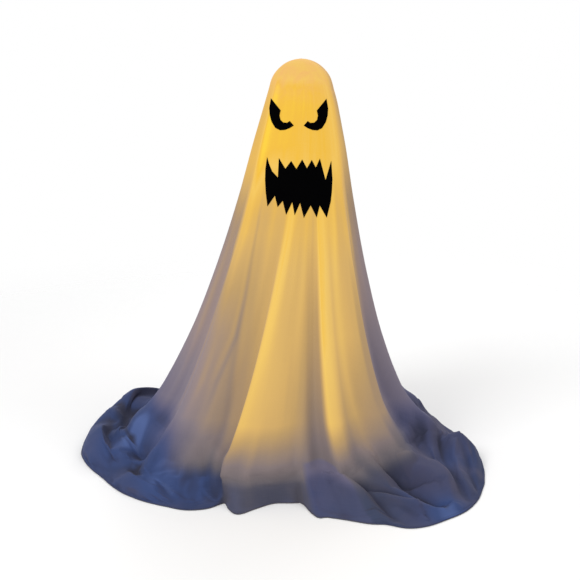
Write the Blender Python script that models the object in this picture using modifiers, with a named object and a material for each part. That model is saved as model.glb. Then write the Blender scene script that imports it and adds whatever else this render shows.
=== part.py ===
"""Standing light-up ghost: a draped cloth cover over a lamp on a four-legged stand.

The origin is on the floor, on the axis of the pole. +Z is up and the face looks towards -Y.
"""

import math

import bmesh
import bpy
from mathutils import Matrix, Vector

MM = 0.001

# Gaps between pieces that touch, and how far a cutter or a joined shape runs past a face
CLEARANCE = 0.3 * MM
OVERRUN = 2.0 * MM
WELD_DISTANCE = 0.01 * MM

# Cloth cover
TOTAL_HEIGHT = 1200 * MM
CLOTH_THICKNESS = 1.2 * MM
HEAD_RADIUS = 96.3 * MM
CROWN_HEIGHT = 105 * MM
FLOOR_GAP = 0.6 * MM
FOOT_RADIUS = 436 * MM
FOOT_HEIGHT = 85 * MM
HEM_RADIUS = 620 * MM
PILE_HEIGHT = 78 * MM
FOLD_DEPTH = 27 * MM
HEM_WAVE = 16 * MM
FLOOR_LEAN = 84 * MM

# Felt face
FELT_THICKNESS = 0.8 * MM
EYE_WIDTH = 69 * MM
EYE_HEIGHT = 85 * MM
EYE_SPACING = 96 * MM
EYE_DROP = 47 * MM
MOUTH_WIDTH = 191 * MM
MOUTH_HEIGHT = 166 * MM
MOUTH_DROP = 248 * MM
FACE_SHIFT = 8 * MM

# Head former and the tray that carries it
DOME_WALL = 2.0 * MM
DOME_GAP = 0.8 * MM
CROWN_GAP = 0.4 * MM
TRAY_DROP = 65 * MM
TRAY_THICKNESS = 3.0 * MM
TRAY_RIM_HEIGHT = 9.7 * MM
TRAY_RIM_WALL = 2.0 * MM
TRAY_SOCKET_WALL = 4.2 * MM
TRAY_SOCKET_DEPTH = 18 * MM

# Pole
POLE_RADIUS = 12.5 * MM
POLE_WALL = 1.2 * MM
POLE_JOINT_HEIGHT = 270 * MM
SPIGOT_LENGTH = 55 * MM
COLLAR_WIDTH = 5.2 * MM
COLLAR_HEIGHT = 8 * MM
PLUG_HEIGHT = 22 * MM

# Snap button that locks the two tubes
SNAP_HEIGHT = 298 * MM
SNAP_RADIUS = 3.0 * MM
SNAP_PROUD = 2.7 * MM
SNAP_FLANGE_RADIUS = 4.2 * MM
SNAP_FLANGE_THICKNESS = 1.0 * MM
SNAP_FLANGE_FACE = 8.5 * MM
SPRING_THICKNESS = 0.5 * MM
SPRING_WIDTH = 6 * MM
SPRING_HALF_HEIGHT = 17 * MM
SPRING_BACK = 9.0 * MM
SPRING_BEND = 5 * MM

# Stand
HUB_RADIUS = 32 * MM
HUB_HEIGHT = 34 * MM
SOCKET_WALL = 6.2 * MM
SOCKET_TOP = 110 * MM
SOCKET_FLOOR = 20 * MM
LEG_RADIUS = 9.5 * MM
LEG_WALL = 1.2 * MM
LEG_AXIS_HEIGHT = 17 * MM
LEG_REACH = 235 * MM
LEG_START = 26 * MM
ARM_WALL = 4.2 * MM
ARM_REACH = 78 * MM
LEG_ANGLES = (45, 135, 225, 315)
BOOT_LENGTH = 28 * MM
BOOT_WALL = 2.7 * MM
BOOT_END_WALL = 5.4 * MM
BOOT_PAD_WIDTH = 22 * MM

# Screws of the stand
SCREW_RADIUS = 1.5 * MM
SCREW_HEAD_RADIUS = 4.0 * MM
SCREW_HEAD_HEIGHT = 2.4 * MM
SCREW_BOSS_RADIUS = 5.5 * MM
SCREW_BOSS_RISE = 1.5 * MM
LEG_SCREW_REACH = 60 * MM
LEG_SCREW_LENGTH = 10.8 * MM
HUB_SCREW_HEIGHT = 90 * MM
HUB_SCREW_LENGTH = 12 * MM

# Lamp housing
HOUSING_RADIUS = 46 * MM
HOUSING_WALL = 2.2 * MM
HOUSING_FLOOR = 3.0 * MM
HOUSING_BASE = 330 * MM
HOUSING_HEIGHT = 125 * MM
SLEEVE_WALL = 3.2 * MM
HOUSING_CHAMFER = 3.0 * MM
LID_THICKNESS = 3.0 * MM
LID_SCREW_CIRCLE = 40 * MM
LID_SCREW_ANGLES = (10, 170, 230)
LID_BOSS_RADIUS = 4.5 * MM
LID_SCREW_RADIUS = 1.3 * MM
LID_SCREW_HEAD_RADIUS = 3.0 * MM
LID_SCREW_HEAD_HEIGHT = 2.0 * MM
LID_SCREW_LENGTH = 13 * MM

# Battery tray, cells and contacts
CELL_RADIUS = 7.1 * MM
CELL_HEIGHT = 49.5 * MM
CELL_NUB_RADIUS = 2.7 * MM
CELL_NUB_HEIGHT = 1.0 * MM
CELL_PITCH = 15.2 * MM
CELL_COUNT = 3
CONTACT_THICKNESS = 0.5 * MM
CONTACT_WIDTH = 44 * MM
TRAY_WALL = 2.7 * MM
TRAY_WIDTH = 48 * MM
LEDGE_THICKNESS = 3.0 * MM
LEDGE_OVERHANG = 0.4 * MM

# Battery door
DOOR_WIDTH = 50 * MM
DOOR_HEIGHT = 56 * MM
DOOR_SILL = 6 * MM
HINGE_CIRCLE = 50.3 * MM
HINGE_ANGLE = 130
KNUCKLE_RADIUS = 2.9 * MM
HINGE_PIN_RADIUS = 1.25 * MM
LUG_HEIGHT = 9.7 * MM
LUG_INSET = 4 * MM
LUG_WIDTH = 5 * MM
HINGE_ARM_THICKNESS = 2.2 * MM
HINGE_ARM_END_ANGLE = 117.5
HINGE_ARM_BITE = 0.45 * MM
DOOR_LIP = 2.0 * MM

# Power button and switch
BUTTON_RADIUS = 6.0 * MM
BUTTON_PROUD = 3.0 * MM
BUTTON_FLANGE_RADIUS = 7.5 * MM
BUTTON_FLANGE_THICKNESS = 1.2 * MM
BUTTON_STEM_RADIUS = 3.0 * MM
BUTTON_STEM_LENGTH = 3.4 * MM
BUTTON_RISE = 100 * MM
BUTTON_ROUNDING = 1.2 * MM
BUTTON_TRAVEL = 1.5 * MM
SWITCH_SIDE = 12 * MM
SWITCH_DEPTH = 7 * MM
SWITCH_PLUNGER_RADIUS = 1.7 * MM
SWITCH_PLUNGER_LENGTH = 1.2 * MM
SWITCH_BRACKET_WIDTH = 10 * MM

# Light tube
LIGHT_TUBE_RADIUS = 28 * MM
LIGHT_TUBE_WALL = 2.0 * MM
TUBE_HEADROOM = 27 * MM
TUBE_SEAT_WALL = 2.7 * MM
TUBE_SEAT_HEIGHT = 7.7 * MM
TUBE_CAP_THICKNESS = 5 * MM
LED_STRIP_ANGLES = (30, 150, 270)
LED_STRIP_WIDTH = 8 * MM
LED_STRIP_THICKNESS = 1.2 * MM
LED_STRIP_MARGIN = 14 * MM
LED_COUNT = 11
LED_LENGTH = 5 * MM
LED_HEIGHT = 1.5 * MM

# Facets of round pieces, and the angles between faces above which an edge stays sharp
LARGE_STEPS = 48
MEDIUM_STEPS = 24
SMALL_STEPS = 12
SHARP_ANGLE = 35
CLOTH_SHARP_ANGLE = 60

# The crown's rings, as angles down from the top of the head
CROWN_RING_ANGLES = (27, 55, 84)

# Rings of the hanging cloth between the head and the foot: the share of the drop from the head's
# equator to the foot, the share of the way out from the head's radius to the foot's, and the share
# of the folds' full depth
SKIRT_RING_SHARES = (
    (0.109, 0.088, 0.10),
    (0.292, 0.225, 0.24),
    (0.530, 0.418, 0.46),
    (0.728, 0.618, 0.66),
    (0.886, 0.820, 0.88),
    (1.000, 1.000, 1.00),
)

# Rings of the cloth that lies on the floor: the share of the way from the foot to the hem, the
# share of the pile's height, and the share of the folds' full depth
PILE_RING_SHARES = (
    (0.24, 0.60, 0.70),
    (0.50, 1.00, 0.45),
    (0.84, 0.56, 0.30),
    (1.00, 0.00, 0.00),
)

# Twelve folds round the cover. Angles are from the front, towards +X, at the head and at the hem
FOLD_ANGLES = (
    (2, -18),
    (21, 28),
    (48, 47),
    (72, 76),
    (103, 107),
    (133, 135),
    (162, 160),
    (190, 186),
    (219, 213),
    (248, 243),
    (278, 275),
    (308, 310),
)
COLUMNS_PER_FOLD = 4
FOLD_DEPTH_SHARES = (0.95, 1.10, 0.80, 0.90, 1.00, 1.10, 0.90, 1.05, 0.95, 1.00, 0.90, 1.00)
FOOT_REACH_SHARES = (0.86, 0.88, 0.95, 1.00, 0.98, 0.96, 0.95, 0.94, 0.94, 0.92, 0.95, 0.93)
HEM_REACH_SHARES = (0.75, 0.90, 1.10, 1.04, 0.93, 0.90, 0.87, 0.86, 0.91, 0.99, 0.97, 0.84)
PILE_HEIGHT_SHARES = (0.42, 0.50, 0.72, 0.86, 0.84, 0.80, 0.80, 0.80, 1.00, 1.22, 1.12, 0.78)

# The cloth is smooth under the face: the folds start at one angle from the front and are full at
# another
FOLD_START_ANGLE = 31
FOLD_FULL_ANGLE = 93

# The left eye as seen from the front: shares of half its width from its middle, towards the
# nose, and of half its height, upwards
EYE_OUTLINE_SHARES = (
    (-0.86, 1.00),
    (-0.07, 0.28),
    (-0.16, -0.06),
    (-0.08, -0.33),
    (0.15, -0.49),
    (0.46, -0.50),
    (0.67, -0.38),
    (1.00, -0.67),
    (0.67, -0.84),
    (0.27, -0.97),
    (-0.12, -1.00),
    (-0.50, -0.87),
    (-0.81, -0.49),
    (-0.96, -0.07),
    (-1.00, 0.36),
)

# The mouth: shares of half its width from its middle, towards +X, and of half its height
MOUTH_OUTLINE_SHARES = (
    (-0.93, 1.00),
    (-0.87, 0.78),
    (-0.78, 0.55),
    (-0.61, 0.36),
    (-0.58, 1.00),
    (-0.39, 0.66),
    (-0.22, 0.92),
    (-0.07, 0.66),
    (0.10, 0.97),
    (0.24, 0.68),
    (0.38, 0.95),
    (0.50, 0.69),
    (0.62, 0.98),
    (0.79, 0.25),
    (0.96, 0.87),
    (1.00, 0.25),
    (0.98, -0.17),
    (0.95, -0.47),
    (0.83, -1.00),
    (0.62, -0.58),
    (0.53, -0.97),
    (0.35, -0.56),
    (0.15, -0.97),
    (0.04, -0.47),
    (-0.12, -0.88),
    (-0.19, -0.45),
    (-0.37, -0.87),
    (-0.47, -0.41),
    (-0.62, -0.62),
    (-0.70, -0.25),
    (-0.92, -0.62),
    (-0.97, -0.17),
    (-0.99, 0.25),
    (-0.98, 0.60),
)

# Sizes that follow from the ones above
COVER_TOP = TOTAL_HEIGHT - CLOTH_THICKNESS
HEAD_EQUATOR_HEIGHT = TOTAL_HEIGHT - CROWN_HEIGHT
EYE_CENTRE_HEIGHT = HEAD_EQUATOR_HEIGHT - EYE_DROP
MOUTH_CENTRE_HEIGHT = HEAD_EQUATOR_HEIGHT - MOUTH_DROP
TRAY_HEIGHT = HEAD_EQUATOR_HEIGHT - TRAY_DROP
TRAY_TOP = TRAY_HEIGHT + CLEARANCE + TRAY_THICKNESS
TRAY_SOCKET_END = TRAY_HEIGHT - TRAY_SOCKET_DEPTH
DOME_RADIUS = HEAD_RADIUS - DOME_GAP
LIGHT_TUBE_TOP = TRAY_SOCKET_END - TUBE_HEADROOM
POLE_BORE = POLE_RADIUS + CLEARANCE
POLE_INSIDE = POLE_RADIUS - POLE_WALL
POLE_TOP = TRAY_HEIGHT
SPIGOT_RADIUS = POLE_INSIDE - CLEARANCE
SPIGOT_INSIDE = SPIGOT_RADIUS - POLE_WALL
SPIGOT_TOP = POLE_JOINT_HEIGHT + SPIGOT_LENGTH
SOCKET_RADIUS = POLE_BORE + SOCKET_WALL
SCREW_HOLE = SCREW_RADIUS + CLEARANCE
SLEEVE_RADIUS = POLE_BORE + SLEEVE_WALL
HOUSING_INSIDE = HOUSING_RADIUS - HOUSING_WALL
HOUSING_BOTTOM = HOUSING_BASE + CLEARANCE
HOUSING_FLOOR_TOP = HOUSING_BOTTOM + HOUSING_FLOOR
HOUSING_TOP = HOUSING_BOTTOM + HOUSING_HEIGHT
LID_TOP = HOUSING_TOP + CLEARANCE + LID_THICKNESS
LID_SCREW_HOLE = LID_SCREW_RADIUS + CLEARANCE
DOOR_BOTTOM = HOUSING_BOTTOM + DOOR_SILL
DOOR_TOP = DOOR_BOTTOM + DOOR_HEIGHT
HINGE_PIVOT = Matrix.Rotation(math.radians(HINGE_ANGLE), 3, "Z") @ Vector((HINGE_CIRCLE, 0, 0))
HINGE_BORE = HINGE_PIN_RADIUS + CLEARANCE
BUTTON_HEIGHT = HOUSING_BOTTOM + BUTTON_RISE


def clear_scene():
    """Empties the file, as a fresh start for the model."""
    for old in list(bpy.data.objects):
        bpy.data.objects.remove(old)


def new_collection(name):
    """A collection under the scene's own."""
    made = bpy.data.collections.new(name)
    bpy.context.scene.collection.children.link(made)
    return made


def principled(name, colour, roughness, metallic=0.0):
    """A plain finish of one colour."""
    finish = bpy.data.materials.new(name)
    finish.use_nodes = True
    shader = finish.node_tree.nodes["Principled BSDF"]
    shader.inputs["Base Color"].default_value = (*colour, 1.0)
    shader.inputs["Roughness"].default_value = roughness
    shader.inputs["Metallic"].default_value = metallic
    return finish


clear_scene()
PARTS = new_collection("standing_ghost")
CUTTERS = new_collection("cutters")
CLOTH = principled("lit_cloth", (0.80, 0.60, 0.30), 0.85)
FELT = principled("black_felt", (0.012, 0.011, 0.012), 0.95)
MILKY = principled("milky_plastic", (0.92, 0.88, 0.80), 0.45)
STEEL = principled("powder_coated_steel", (0.10, 0.10, 0.11), 0.45)
BRIGHT = principled("zinc_plated_steel", (0.62, 0.62, 0.60), 0.35, 1.0)
MOULDED = principled("black_moulding", (0.045, 0.045, 0.05), 0.55)
RUBBER = principled("rubber", (0.03, 0.03, 0.03), 0.85)
CASE = principled("lamp_case", (0.78, 0.77, 0.74), 0.40)
RED = principled("button_red", (0.55, 0.05, 0.04), 0.40)
CELL_WRAP = principled("cell_wrap", (0.14, 0.22, 0.36), 0.35)
BOARD = principled("led_board", (0.88, 0.86, 0.80), 0.50)


def add_object(name, mesh, finish, collection=None):
    """Places a mesh in the model as one named piece."""
    made = bpy.data.objects.new(name, mesh)
    (collection or PARTS).objects.link(made)
    if finish and not mesh.materials:
        mesh.materials.append(finish)
    return made


def shade(mesh, sharp_degrees=SHARP_ANGLE):
    """Smooth shading that keeps the hard edges."""
    mesh.shade_smooth()
    mesh.set_sharp_from_angle(angle=math.radians(sharp_degrees))


def hide(cutter):
    """Keeps a cutter out of the renders and of the build."""
    cutter.hide_render = True
    cutter.display_type = "WIRE"
    return cutter


def cylinder_mesh(name, radius, low, high, steps=MEDIUM_STEPS):
    """A cylinder along +Z between two heights."""
    mesh = bpy.data.meshes.new(name)
    shape = bmesh.new()
    bmesh.ops.create_cone(
        shape,
        cap_ends=True,
        segments=steps,
        radius1=radius,
        radius2=radius,
        depth=high - low,
        matrix=Matrix.Translation((0, 0, (low + high) / 2)),
    )
    shape.to_mesh(mesh)
    shape.free()
    shade(mesh)
    return mesh


def box_mesh(name, low, high):
    """A box between two corners."""
    low, high = Vector(low), Vector(high)
    mesh = bpy.data.meshes.new(name)
    shape = bmesh.new()
    bmesh.ops.create_cube(
        shape,
        size=1.0,
        matrix=Matrix.Translation((low + high) / 2) @ Matrix.Diagonal((*(high - low), 1)),
    )
    shape.to_mesh(mesh)
    shape.free()
    return mesh


def turned(name, profile, finish, steps=LARGE_STEPS, closed=True, collection=None):
    """A turned shape: a profile of (radius, height) points, run down its outer side, and a Screw."""
    mesh = bpy.data.meshes.new(name)
    points = [(radius, 0, height) for radius, height in profile]
    edges = [(i, i + 1) for i in range(len(points) - 1)]
    if closed:
        edges.append((len(points) - 1, 0))
    mesh.from_pydata(points, edges, [])
    made = add_object(name, mesh, finish, collection)
    screw = made.modifiers.new("turn", "SCREW")
    screw.axis = "Z"
    screw.angle = math.tau
    screw.steps = screw.render_steps = steps
    screw.use_merge_vertices = True
    screw.merge_threshold = WELD_DISTANCE
    screw.use_smooth_shade = False
    weld = made.modifiers.new("weld", "WELD")
    weld.merge_threshold = WELD_DISTANCE
    return made


def boolean(piece, other, operation):
    """Cuts or joins with an object that stays out of the build."""
    modifier = piece.modifiers.new(other.name, "BOOLEAN")
    modifier.operation = operation
    modifier.solver = "EXACT"
    modifier.object = hide(other)


def cut(piece, mesh, matrix=None):
    """Takes a shape away from a piece."""
    cutter = add_object("cut_" + mesh.name, mesh, None, CUTTERS)
    cutter.matrix_world = matrix or Matrix.Identity(4)
    boolean(piece, cutter, "DIFFERENCE")


def join(piece, mesh, matrix=None):
    """Adds a shape to a piece, as one body."""
    added = add_object("join_" + mesh.name, mesh, None, CUTTERS)
    added.matrix_world = matrix or Matrix.Identity(4)
    boolean(piece, added, "UNION")


def baked(piece):
    """The piece's evaluated mesh, with its modifiers applied, in world space."""
    bpy.context.view_layer.update()
    graph = bpy.context.evaluated_depsgraph_get()
    mesh = bpy.data.meshes.new_from_object(piece.evaluated_get(graph))
    mesh.transform(piece.matrix_world)
    return mesh


def turned_about_z(degrees):
    return Matrix.Rotation(math.radians(degrees), 4, "Z")


def along_x():
    """Turns a shape made along +Z so that it lies along +X."""
    return Matrix.Rotation(math.radians(90), 4, "Y")


def along_back():
    """Turns a shape made along +Z so that it lies along +Y."""
    return Matrix.Rotation(math.radians(-90), 4, "X")


def copies_round_pole(name, pattern, finish, angles):
    """One object for each angle, all sharing the pattern's mesh, which is then removed."""
    mesh = baked(pattern)
    shade(mesh)
    bpy.data.objects.remove(pattern)
    for number, angle in enumerate(angles, start=1):
        copy = add_object(f"{name}_{number}", mesh, finish)
        copy.matrix_world = turned_about_z(angle)


def screw_profile(radius, head_radius, head_height, length):
    """A pan-head screw with the underside of its head at height zero."""
    edge = head_height / 3
    return [
        (0, head_height),
        (head_radius - edge, head_height),
        (head_radius, head_height - edge),
        (head_radius, 0),
        (radius, 0),
        (radius, -length + radius / 2),
        (radius / 2, -length),
        (0, -length),
    ]


def base_hub():
    """Moulded hub: an upright socket for the pole and four arms for the legs."""
    chamfer = ARM_WALL / 2
    hub = turned(
        "base_hub",
        [
            (SOCKET_RADIUS - chamfer, SOCKET_TOP),
            (SOCKET_RADIUS, SOCKET_TOP - chamfer),
            (SOCKET_RADIUS, HUB_HEIGHT + chamfer),
            (HUB_RADIUS - chamfer, HUB_HEIGHT),
            (HUB_RADIUS, HUB_HEIGHT - chamfer),
            (HUB_RADIUS, chamfer),
            (HUB_RADIUS - chamfer, 0),
            (0, 0),
            (0, SOCKET_FLOOR),
            (POLE_BORE, SOCKET_FLOOR),
            (POLE_BORE, SOCKET_TOP),
        ],
        MOULDED,
        steps=MEDIUM_STEPS,
    )
    arm = cylinder_mesh("arm", LEG_RADIUS + CLEARANCE + ARM_WALL, POLE_BORE + OVERRUN, ARM_REACH)
    boss = cylinder_mesh(
        "boss",
        SCREW_BOSS_RADIUS,
        LEG_AXIS_HEIGHT,
        LEG_AXIS_HEIGHT + LEG_RADIUS + CLEARANCE + ARM_WALL + SCREW_BOSS_RISE,
        SMALL_STEPS,
    )
    leg_bore = cylinder_mesh("leg_bore", LEG_RADIUS + CLEARANCE, LEG_START, ARM_REACH + OVERRUN)
    screw_bore = cylinder_mesh("screw_bore", SCREW_HOLE, LEG_AXIS_HEIGHT, HUB_HEIGHT + OVERRUN, SMALL_STEPS)
    lift = Matrix.Translation((0, 0, LEG_AXIS_HEIGHT))
    out = Matrix.Translation((LEG_SCREW_REACH, 0, 0))
    for angle in LEG_ANGLES:
        join(hub, arm, turned_about_z(angle) @ lift @ along_x())
        join(hub, boss, turned_about_z(angle) @ out)
    for angle in LEG_ANGLES:
        cut(hub, leg_bore, turned_about_z(angle) @ lift @ along_x())
        cut(hub, screw_bore, turned_about_z(angle) @ out)
    up = Matrix.Translation((0, 0, HUB_SCREW_HEIGHT))
    start, end = POLE_BORE + SOCKET_WALL / 2, SOCKET_RADIUS + SCREW_BOSS_RISE
    side_boss = cylinder_mesh("side_boss", SCREW_BOSS_RADIUS, start, end, SMALL_STEPS)
    side_bore = cylinder_mesh("side_bore", SCREW_HOLE, 0, end + OVERRUN, SMALL_STEPS)
    join(hub, side_boss, up @ along_back())
    cut(hub, side_bore, up @ along_back())


def base_legs():
    """Four steel tubes that plug into the hub, each with a rubber boot and a screw."""
    start = LEG_START + CLEARANCE
    leg = turned(
        "leg_pattern",
        [
            (LEG_RADIUS, LEG_REACH),
            (LEG_RADIUS, start),
            (LEG_RADIUS - LEG_WALL, start),
            (LEG_RADIUS - LEG_WALL, LEG_REACH),
        ],
        STEEL,
        steps=MEDIUM_STEPS,
    )
    leg.matrix_world = Matrix.Translation((0, 0, LEG_AXIS_HEIGHT)) @ along_x()
    out = Matrix.Translation((LEG_SCREW_REACH, 0, 0))
    bore = cylinder_mesh("leg_screw_hole", SCREW_HOLE, LEG_AXIS_HEIGHT, HUB_HEIGHT + OVERRUN, SMALL_STEPS)
    cut(leg, bore, out)
    copies_round_pole("base_leg", leg, STEEL, LEG_ANGLES)

    pocket_radius, pocket_end = LEG_RADIUS + CLEARANCE, LEG_REACH + CLEARANCE
    boot_end = pocket_end + BOOT_END_WALL
    boot_start = boot_end - BOOT_LENGTH
    boot_radius = pocket_radius + BOOT_WALL
    boot = add_object("boot_pattern", cylinder_mesh("boot", boot_radius, boot_start, boot_end), RUBBER)
    boot.matrix_world = Matrix.Translation((0, 0, LEG_AXIS_HEIGHT)) @ along_x()
    pad = box_mesh(
        "boot_pad",
        (boot_start, -BOOT_PAD_WIDTH / 2, 0),
        (boot_end, BOOT_PAD_WIDTH / 2, LEG_AXIS_HEIGHT),
    )
    join(boot, pad)
    pocket = cylinder_mesh("boot_pocket", pocket_radius, boot_start - OVERRUN, pocket_end)
    cut(boot, pocket, boot.matrix_world.copy())
    copies_round_pole("leg_boot", boot, RUBBER, LEG_ANGLES)

    seat = LEG_AXIS_HEIGHT + LEG_RADIUS + CLEARANCE + ARM_WALL + SCREW_BOSS_RISE + CLEARANCE
    profile = screw_profile(SCREW_RADIUS, SCREW_HEAD_RADIUS, SCREW_HEAD_HEIGHT, LEG_SCREW_LENGTH)
    fastener = turned("leg_screw_pattern", profile, BRIGHT, steps=SMALL_STEPS, closed=False)
    fastener.matrix_world = Matrix.Translation((LEG_SCREW_REACH, 0, seat))
    copies_round_pole("leg_screw", fastener, BRIGHT, LEG_ANGLES)

    profile = screw_profile(SCREW_RADIUS, SCREW_HEAD_RADIUS, SCREW_HEAD_HEIGHT, HUB_SCREW_LENGTH)
    hub_screw = turned("hub_screw", profile, BRIGHT, steps=SMALL_STEPS, closed=False)
    reach = SOCKET_RADIUS + SCREW_BOSS_RISE + CLEARANCE
    hub_screw.matrix_world = Matrix.Translation((0, reach, HUB_SCREW_HEIGHT)) @ along_back()


def poles():
    """Two steel tubes: the lower one's narrowed top slides into the upper one."""
    lower = turned(
        "pole_lower",
        [
            (SPIGOT_RADIUS, SPIGOT_TOP),
            (SPIGOT_RADIUS, POLE_JOINT_HEIGHT),
            (POLE_RADIUS, POLE_JOINT_HEIGHT),
            (POLE_RADIUS, SOCKET_FLOOR + CLEARANCE),
            (POLE_INSIDE, SOCKET_FLOOR + CLEARANCE),
            (POLE_INSIDE, POLE_JOINT_HEIGHT - POLE_WALL),
            (SPIGOT_INSIDE, POLE_JOINT_HEIGHT),
            (SPIGOT_INSIDE, SPIGOT_TOP),
        ],
        STEEL,
        steps=MEDIUM_STEPS,
    )
    upper = turned(
        "pole_upper",
        [
            (POLE_RADIUS, POLE_TOP),
            (POLE_RADIUS, POLE_JOINT_HEIGHT + CLEARANCE),
            (POLE_INSIDE, POLE_JOINT_HEIGHT + CLEARANCE),
            (POLE_INSIDE, POLE_TOP),
        ],
        STEEL,
        steps=MEDIUM_STEPS,
    )
    snap_bore = cylinder_mesh("snap_bore", SNAP_RADIUS + CLEARANCE, 0, POLE_RADIUS + OVERRUN, SMALL_STEPS)
    snap_place = Matrix.Translation((0, 0, SNAP_HEIGHT)) @ along_x()
    cut(lower, snap_bore, snap_place)
    cut(upper, snap_bore, snap_place)
    screw_bore = cylinder_mesh("pole_screw_bore", SCREW_HOLE, 0, POLE_RADIUS + OVERRUN, SMALL_STEPS)
    cut(lower, screw_bore, Matrix.Translation((0, 0, HUB_SCREW_HEIGHT)) @ along_back())
    turned(
        "pole_collar",
        [
            (POLE_BORE + COLLAR_WIDTH, HOUSING_BASE),
            (POLE_BORE + COLLAR_WIDTH, HOUSING_BASE - COLLAR_HEIGHT),
            (POLE_BORE, HOUSING_BASE - COLLAR_HEIGHT),
            (POLE_BORE, HOUSING_BASE),
        ],
        MOULDED,
        steps=MEDIUM_STEPS,
    )


def snap_lock():
    """Spring button that pops through both tubes, and the hairpin leaf spring behind it."""
    tip = POLE_RADIUS + SNAP_PROUD
    button = turned(
        "pole_snap_button",
        [
            (0, tip),
            (SNAP_RADIUS / 2, tip - SNAP_RADIUS / 8),
            (SNAP_RADIUS, tip - SNAP_RADIUS / 2),
            (SNAP_RADIUS, SNAP_FLANGE_FACE),
            (SNAP_FLANGE_RADIUS, SNAP_FLANGE_FACE),
            (SNAP_FLANGE_RADIUS, SNAP_FLANGE_FACE - SNAP_FLANGE_THICKNESS),
            (0, SNAP_FLANGE_FACE - SNAP_FLANGE_THICKNESS),
        ],
        BRIGHT,
        steps=SMALL_STEPS,
        closed=False,
    )
    button.matrix_world = Matrix.Translation((0, 0, SNAP_HEIGHT)) @ along_x()

    front = SNAP_FLANGE_FACE - SNAP_FLANGE_THICKNESS - CLEARANCE - SPRING_THICKNESS
    back = -SPRING_BACK + SPRING_THICKNESS
    low = SNAP_HEIGHT - SPRING_HALF_HEIGHT
    path = [
        (back, SNAP_HEIGHT + SPRING_HALF_HEIGHT),
        (back, low + SPRING_BEND),
        (back + SPRING_BEND / 3, low + SPRING_BEND / 3),
        (back + SPRING_BEND, low),
        (front - SPRING_BEND, low),
        (front - SPRING_BEND / 3, low + SPRING_BEND / 3),
        (front, low + SPRING_BEND),
        (front, SNAP_HEIGHT + SNAP_FLANGE_RADIUS),
    ]
    mesh = bpy.data.meshes.new("pole_snap_spring")
    strip = bmesh.new()
    line = [strip.verts.new((x, -SPRING_WIDTH / 2, z)) for x, z in path]
    edges = [strip.edges.new(pair) for pair in zip(line, line[1:])]
    swept = bmesh.ops.extrude_edge_only(strip, edges=edges)["geom"]
    moved = [v for v in swept if isinstance(v, bmesh.types.BMVert)]
    bmesh.ops.translate(strip, verts=moved, vec=(0, SPRING_WIDTH, 0))
    strip.to_mesh(mesh)
    strip.free()
    spring = add_object("pole_snap_spring", mesh, BRIGHT)
    skin = spring.modifiers.new("thickness", "SOLIDIFY")
    skin.thickness = SPRING_THICKNESS
    skin.offset = 0
    skin.use_even_offset = True


def lamp_housing():
    """Round case on the pole: floor, wall, centre sleeve, screw bosses, hinge lugs and openings."""
    housing = turned(
        "lamp_housing",
        [
            (HOUSING_RADIUS, HOUSING_TOP),
            (HOUSING_RADIUS, HOUSING_BOTTOM + HOUSING_CHAMFER),
            (HOUSING_RADIUS - HOUSING_CHAMFER, HOUSING_BOTTOM),
            (POLE_BORE, HOUSING_BOTTOM),
            (POLE_BORE, HOUSING_TOP),
            (SLEEVE_RADIUS, HOUSING_TOP),
            (SLEEVE_RADIUS, HOUSING_FLOOR_TOP),
            (HOUSING_INSIDE, HOUSING_FLOOR_TOP),
            (HOUSING_INSIDE, HOUSING_TOP),
        ],
        CASE,
    )
    boss_low = HOUSING_FLOOR_TOP - HOUSING_FLOOR / 2
    boss = cylinder_mesh("lid_boss", LID_BOSS_RADIUS, boss_low, HOUSING_TOP - CLEARANCE, SMALL_STEPS)
    pilot_low = LID_TOP - LID_SCREW_LENGTH - OVERRUN
    pilot = cylinder_mesh("lid_pilot", LID_SCREW_HOLE, pilot_low, HOUSING_TOP + OVERRUN, SMALL_STEPS)
    out = Matrix.Translation((LID_SCREW_CIRCLE, 0, 0))
    for angle in LID_SCREW_ANGLES:
        join(housing, boss, turned_about_z(angle) @ out)
    bracket = box_mesh(
        "switch_bracket",
        (-SWITCH_BRACKET_WIDTH / 2, -switch_back() + CLEARANCE, BUTTON_HEIGHT - SWITCH_SIDE / 2),
        (SWITCH_BRACKET_WIDTH / 2, -(POLE_BORE + SLEEVE_WALL / 2), BUTTON_HEIGHT + SWITCH_SIDE / 2),
    )
    join(housing, bracket)
    lug_block = box_mesh(
        "lug_block",
        (HOUSING_RADIUS - HOUSING_WALL / 2, -LUG_WIDTH / 2, 0),
        (HINGE_CIRCLE, LUG_WIDTH / 2, LUG_HEIGHT),
    )
    lug_eye = cylinder_mesh("lug_eye", KNUCKLE_RADIUS, 0, LUG_HEIGHT, SMALL_STEPS)
    for height in (DOOR_BOTTOM + LUG_INSET, DOOR_TOP - LUG_INSET - LUG_HEIGHT):
        up = Matrix.Translation((0, 0, height))
        join(housing, lug_block, up @ turned_about_z(HINGE_ANGLE))
        join(housing, lug_eye, up @ Matrix.Translation(HINGE_PIVOT))
    for angle in LID_SCREW_ANGLES:
        cut(housing, pilot, turned_about_z(angle) @ out)
    cut(
        housing,
        box_mesh(
            "door_opening",
            (-DOOR_WIDTH / 2, HOUSING_RADIUS / 2, DOOR_BOTTOM),
            (DOOR_WIDTH / 2, HOUSING_RADIUS + OVERRUN, DOOR_TOP),
        ),
    )
    bore_start, bore_end = -HOUSING_RADIUS - OVERRUN, -HOUSING_INSIDE + HOUSING_WALL
    button_bore = cylinder_mesh("button_bore", BUTTON_RADIUS + CLEARANCE, bore_start, bore_end)
    cut(housing, button_bore, Matrix.Translation((0, 0, BUTTON_HEIGHT)) @ along_back())
    pin_bore = cylinder_mesh("pin_bore", HINGE_BORE, DOOR_BOTTOM, DOOR_TOP, SMALL_STEPS)
    cut(housing, pin_bore, Matrix.Translation(HINGE_PIVOT))


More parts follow.
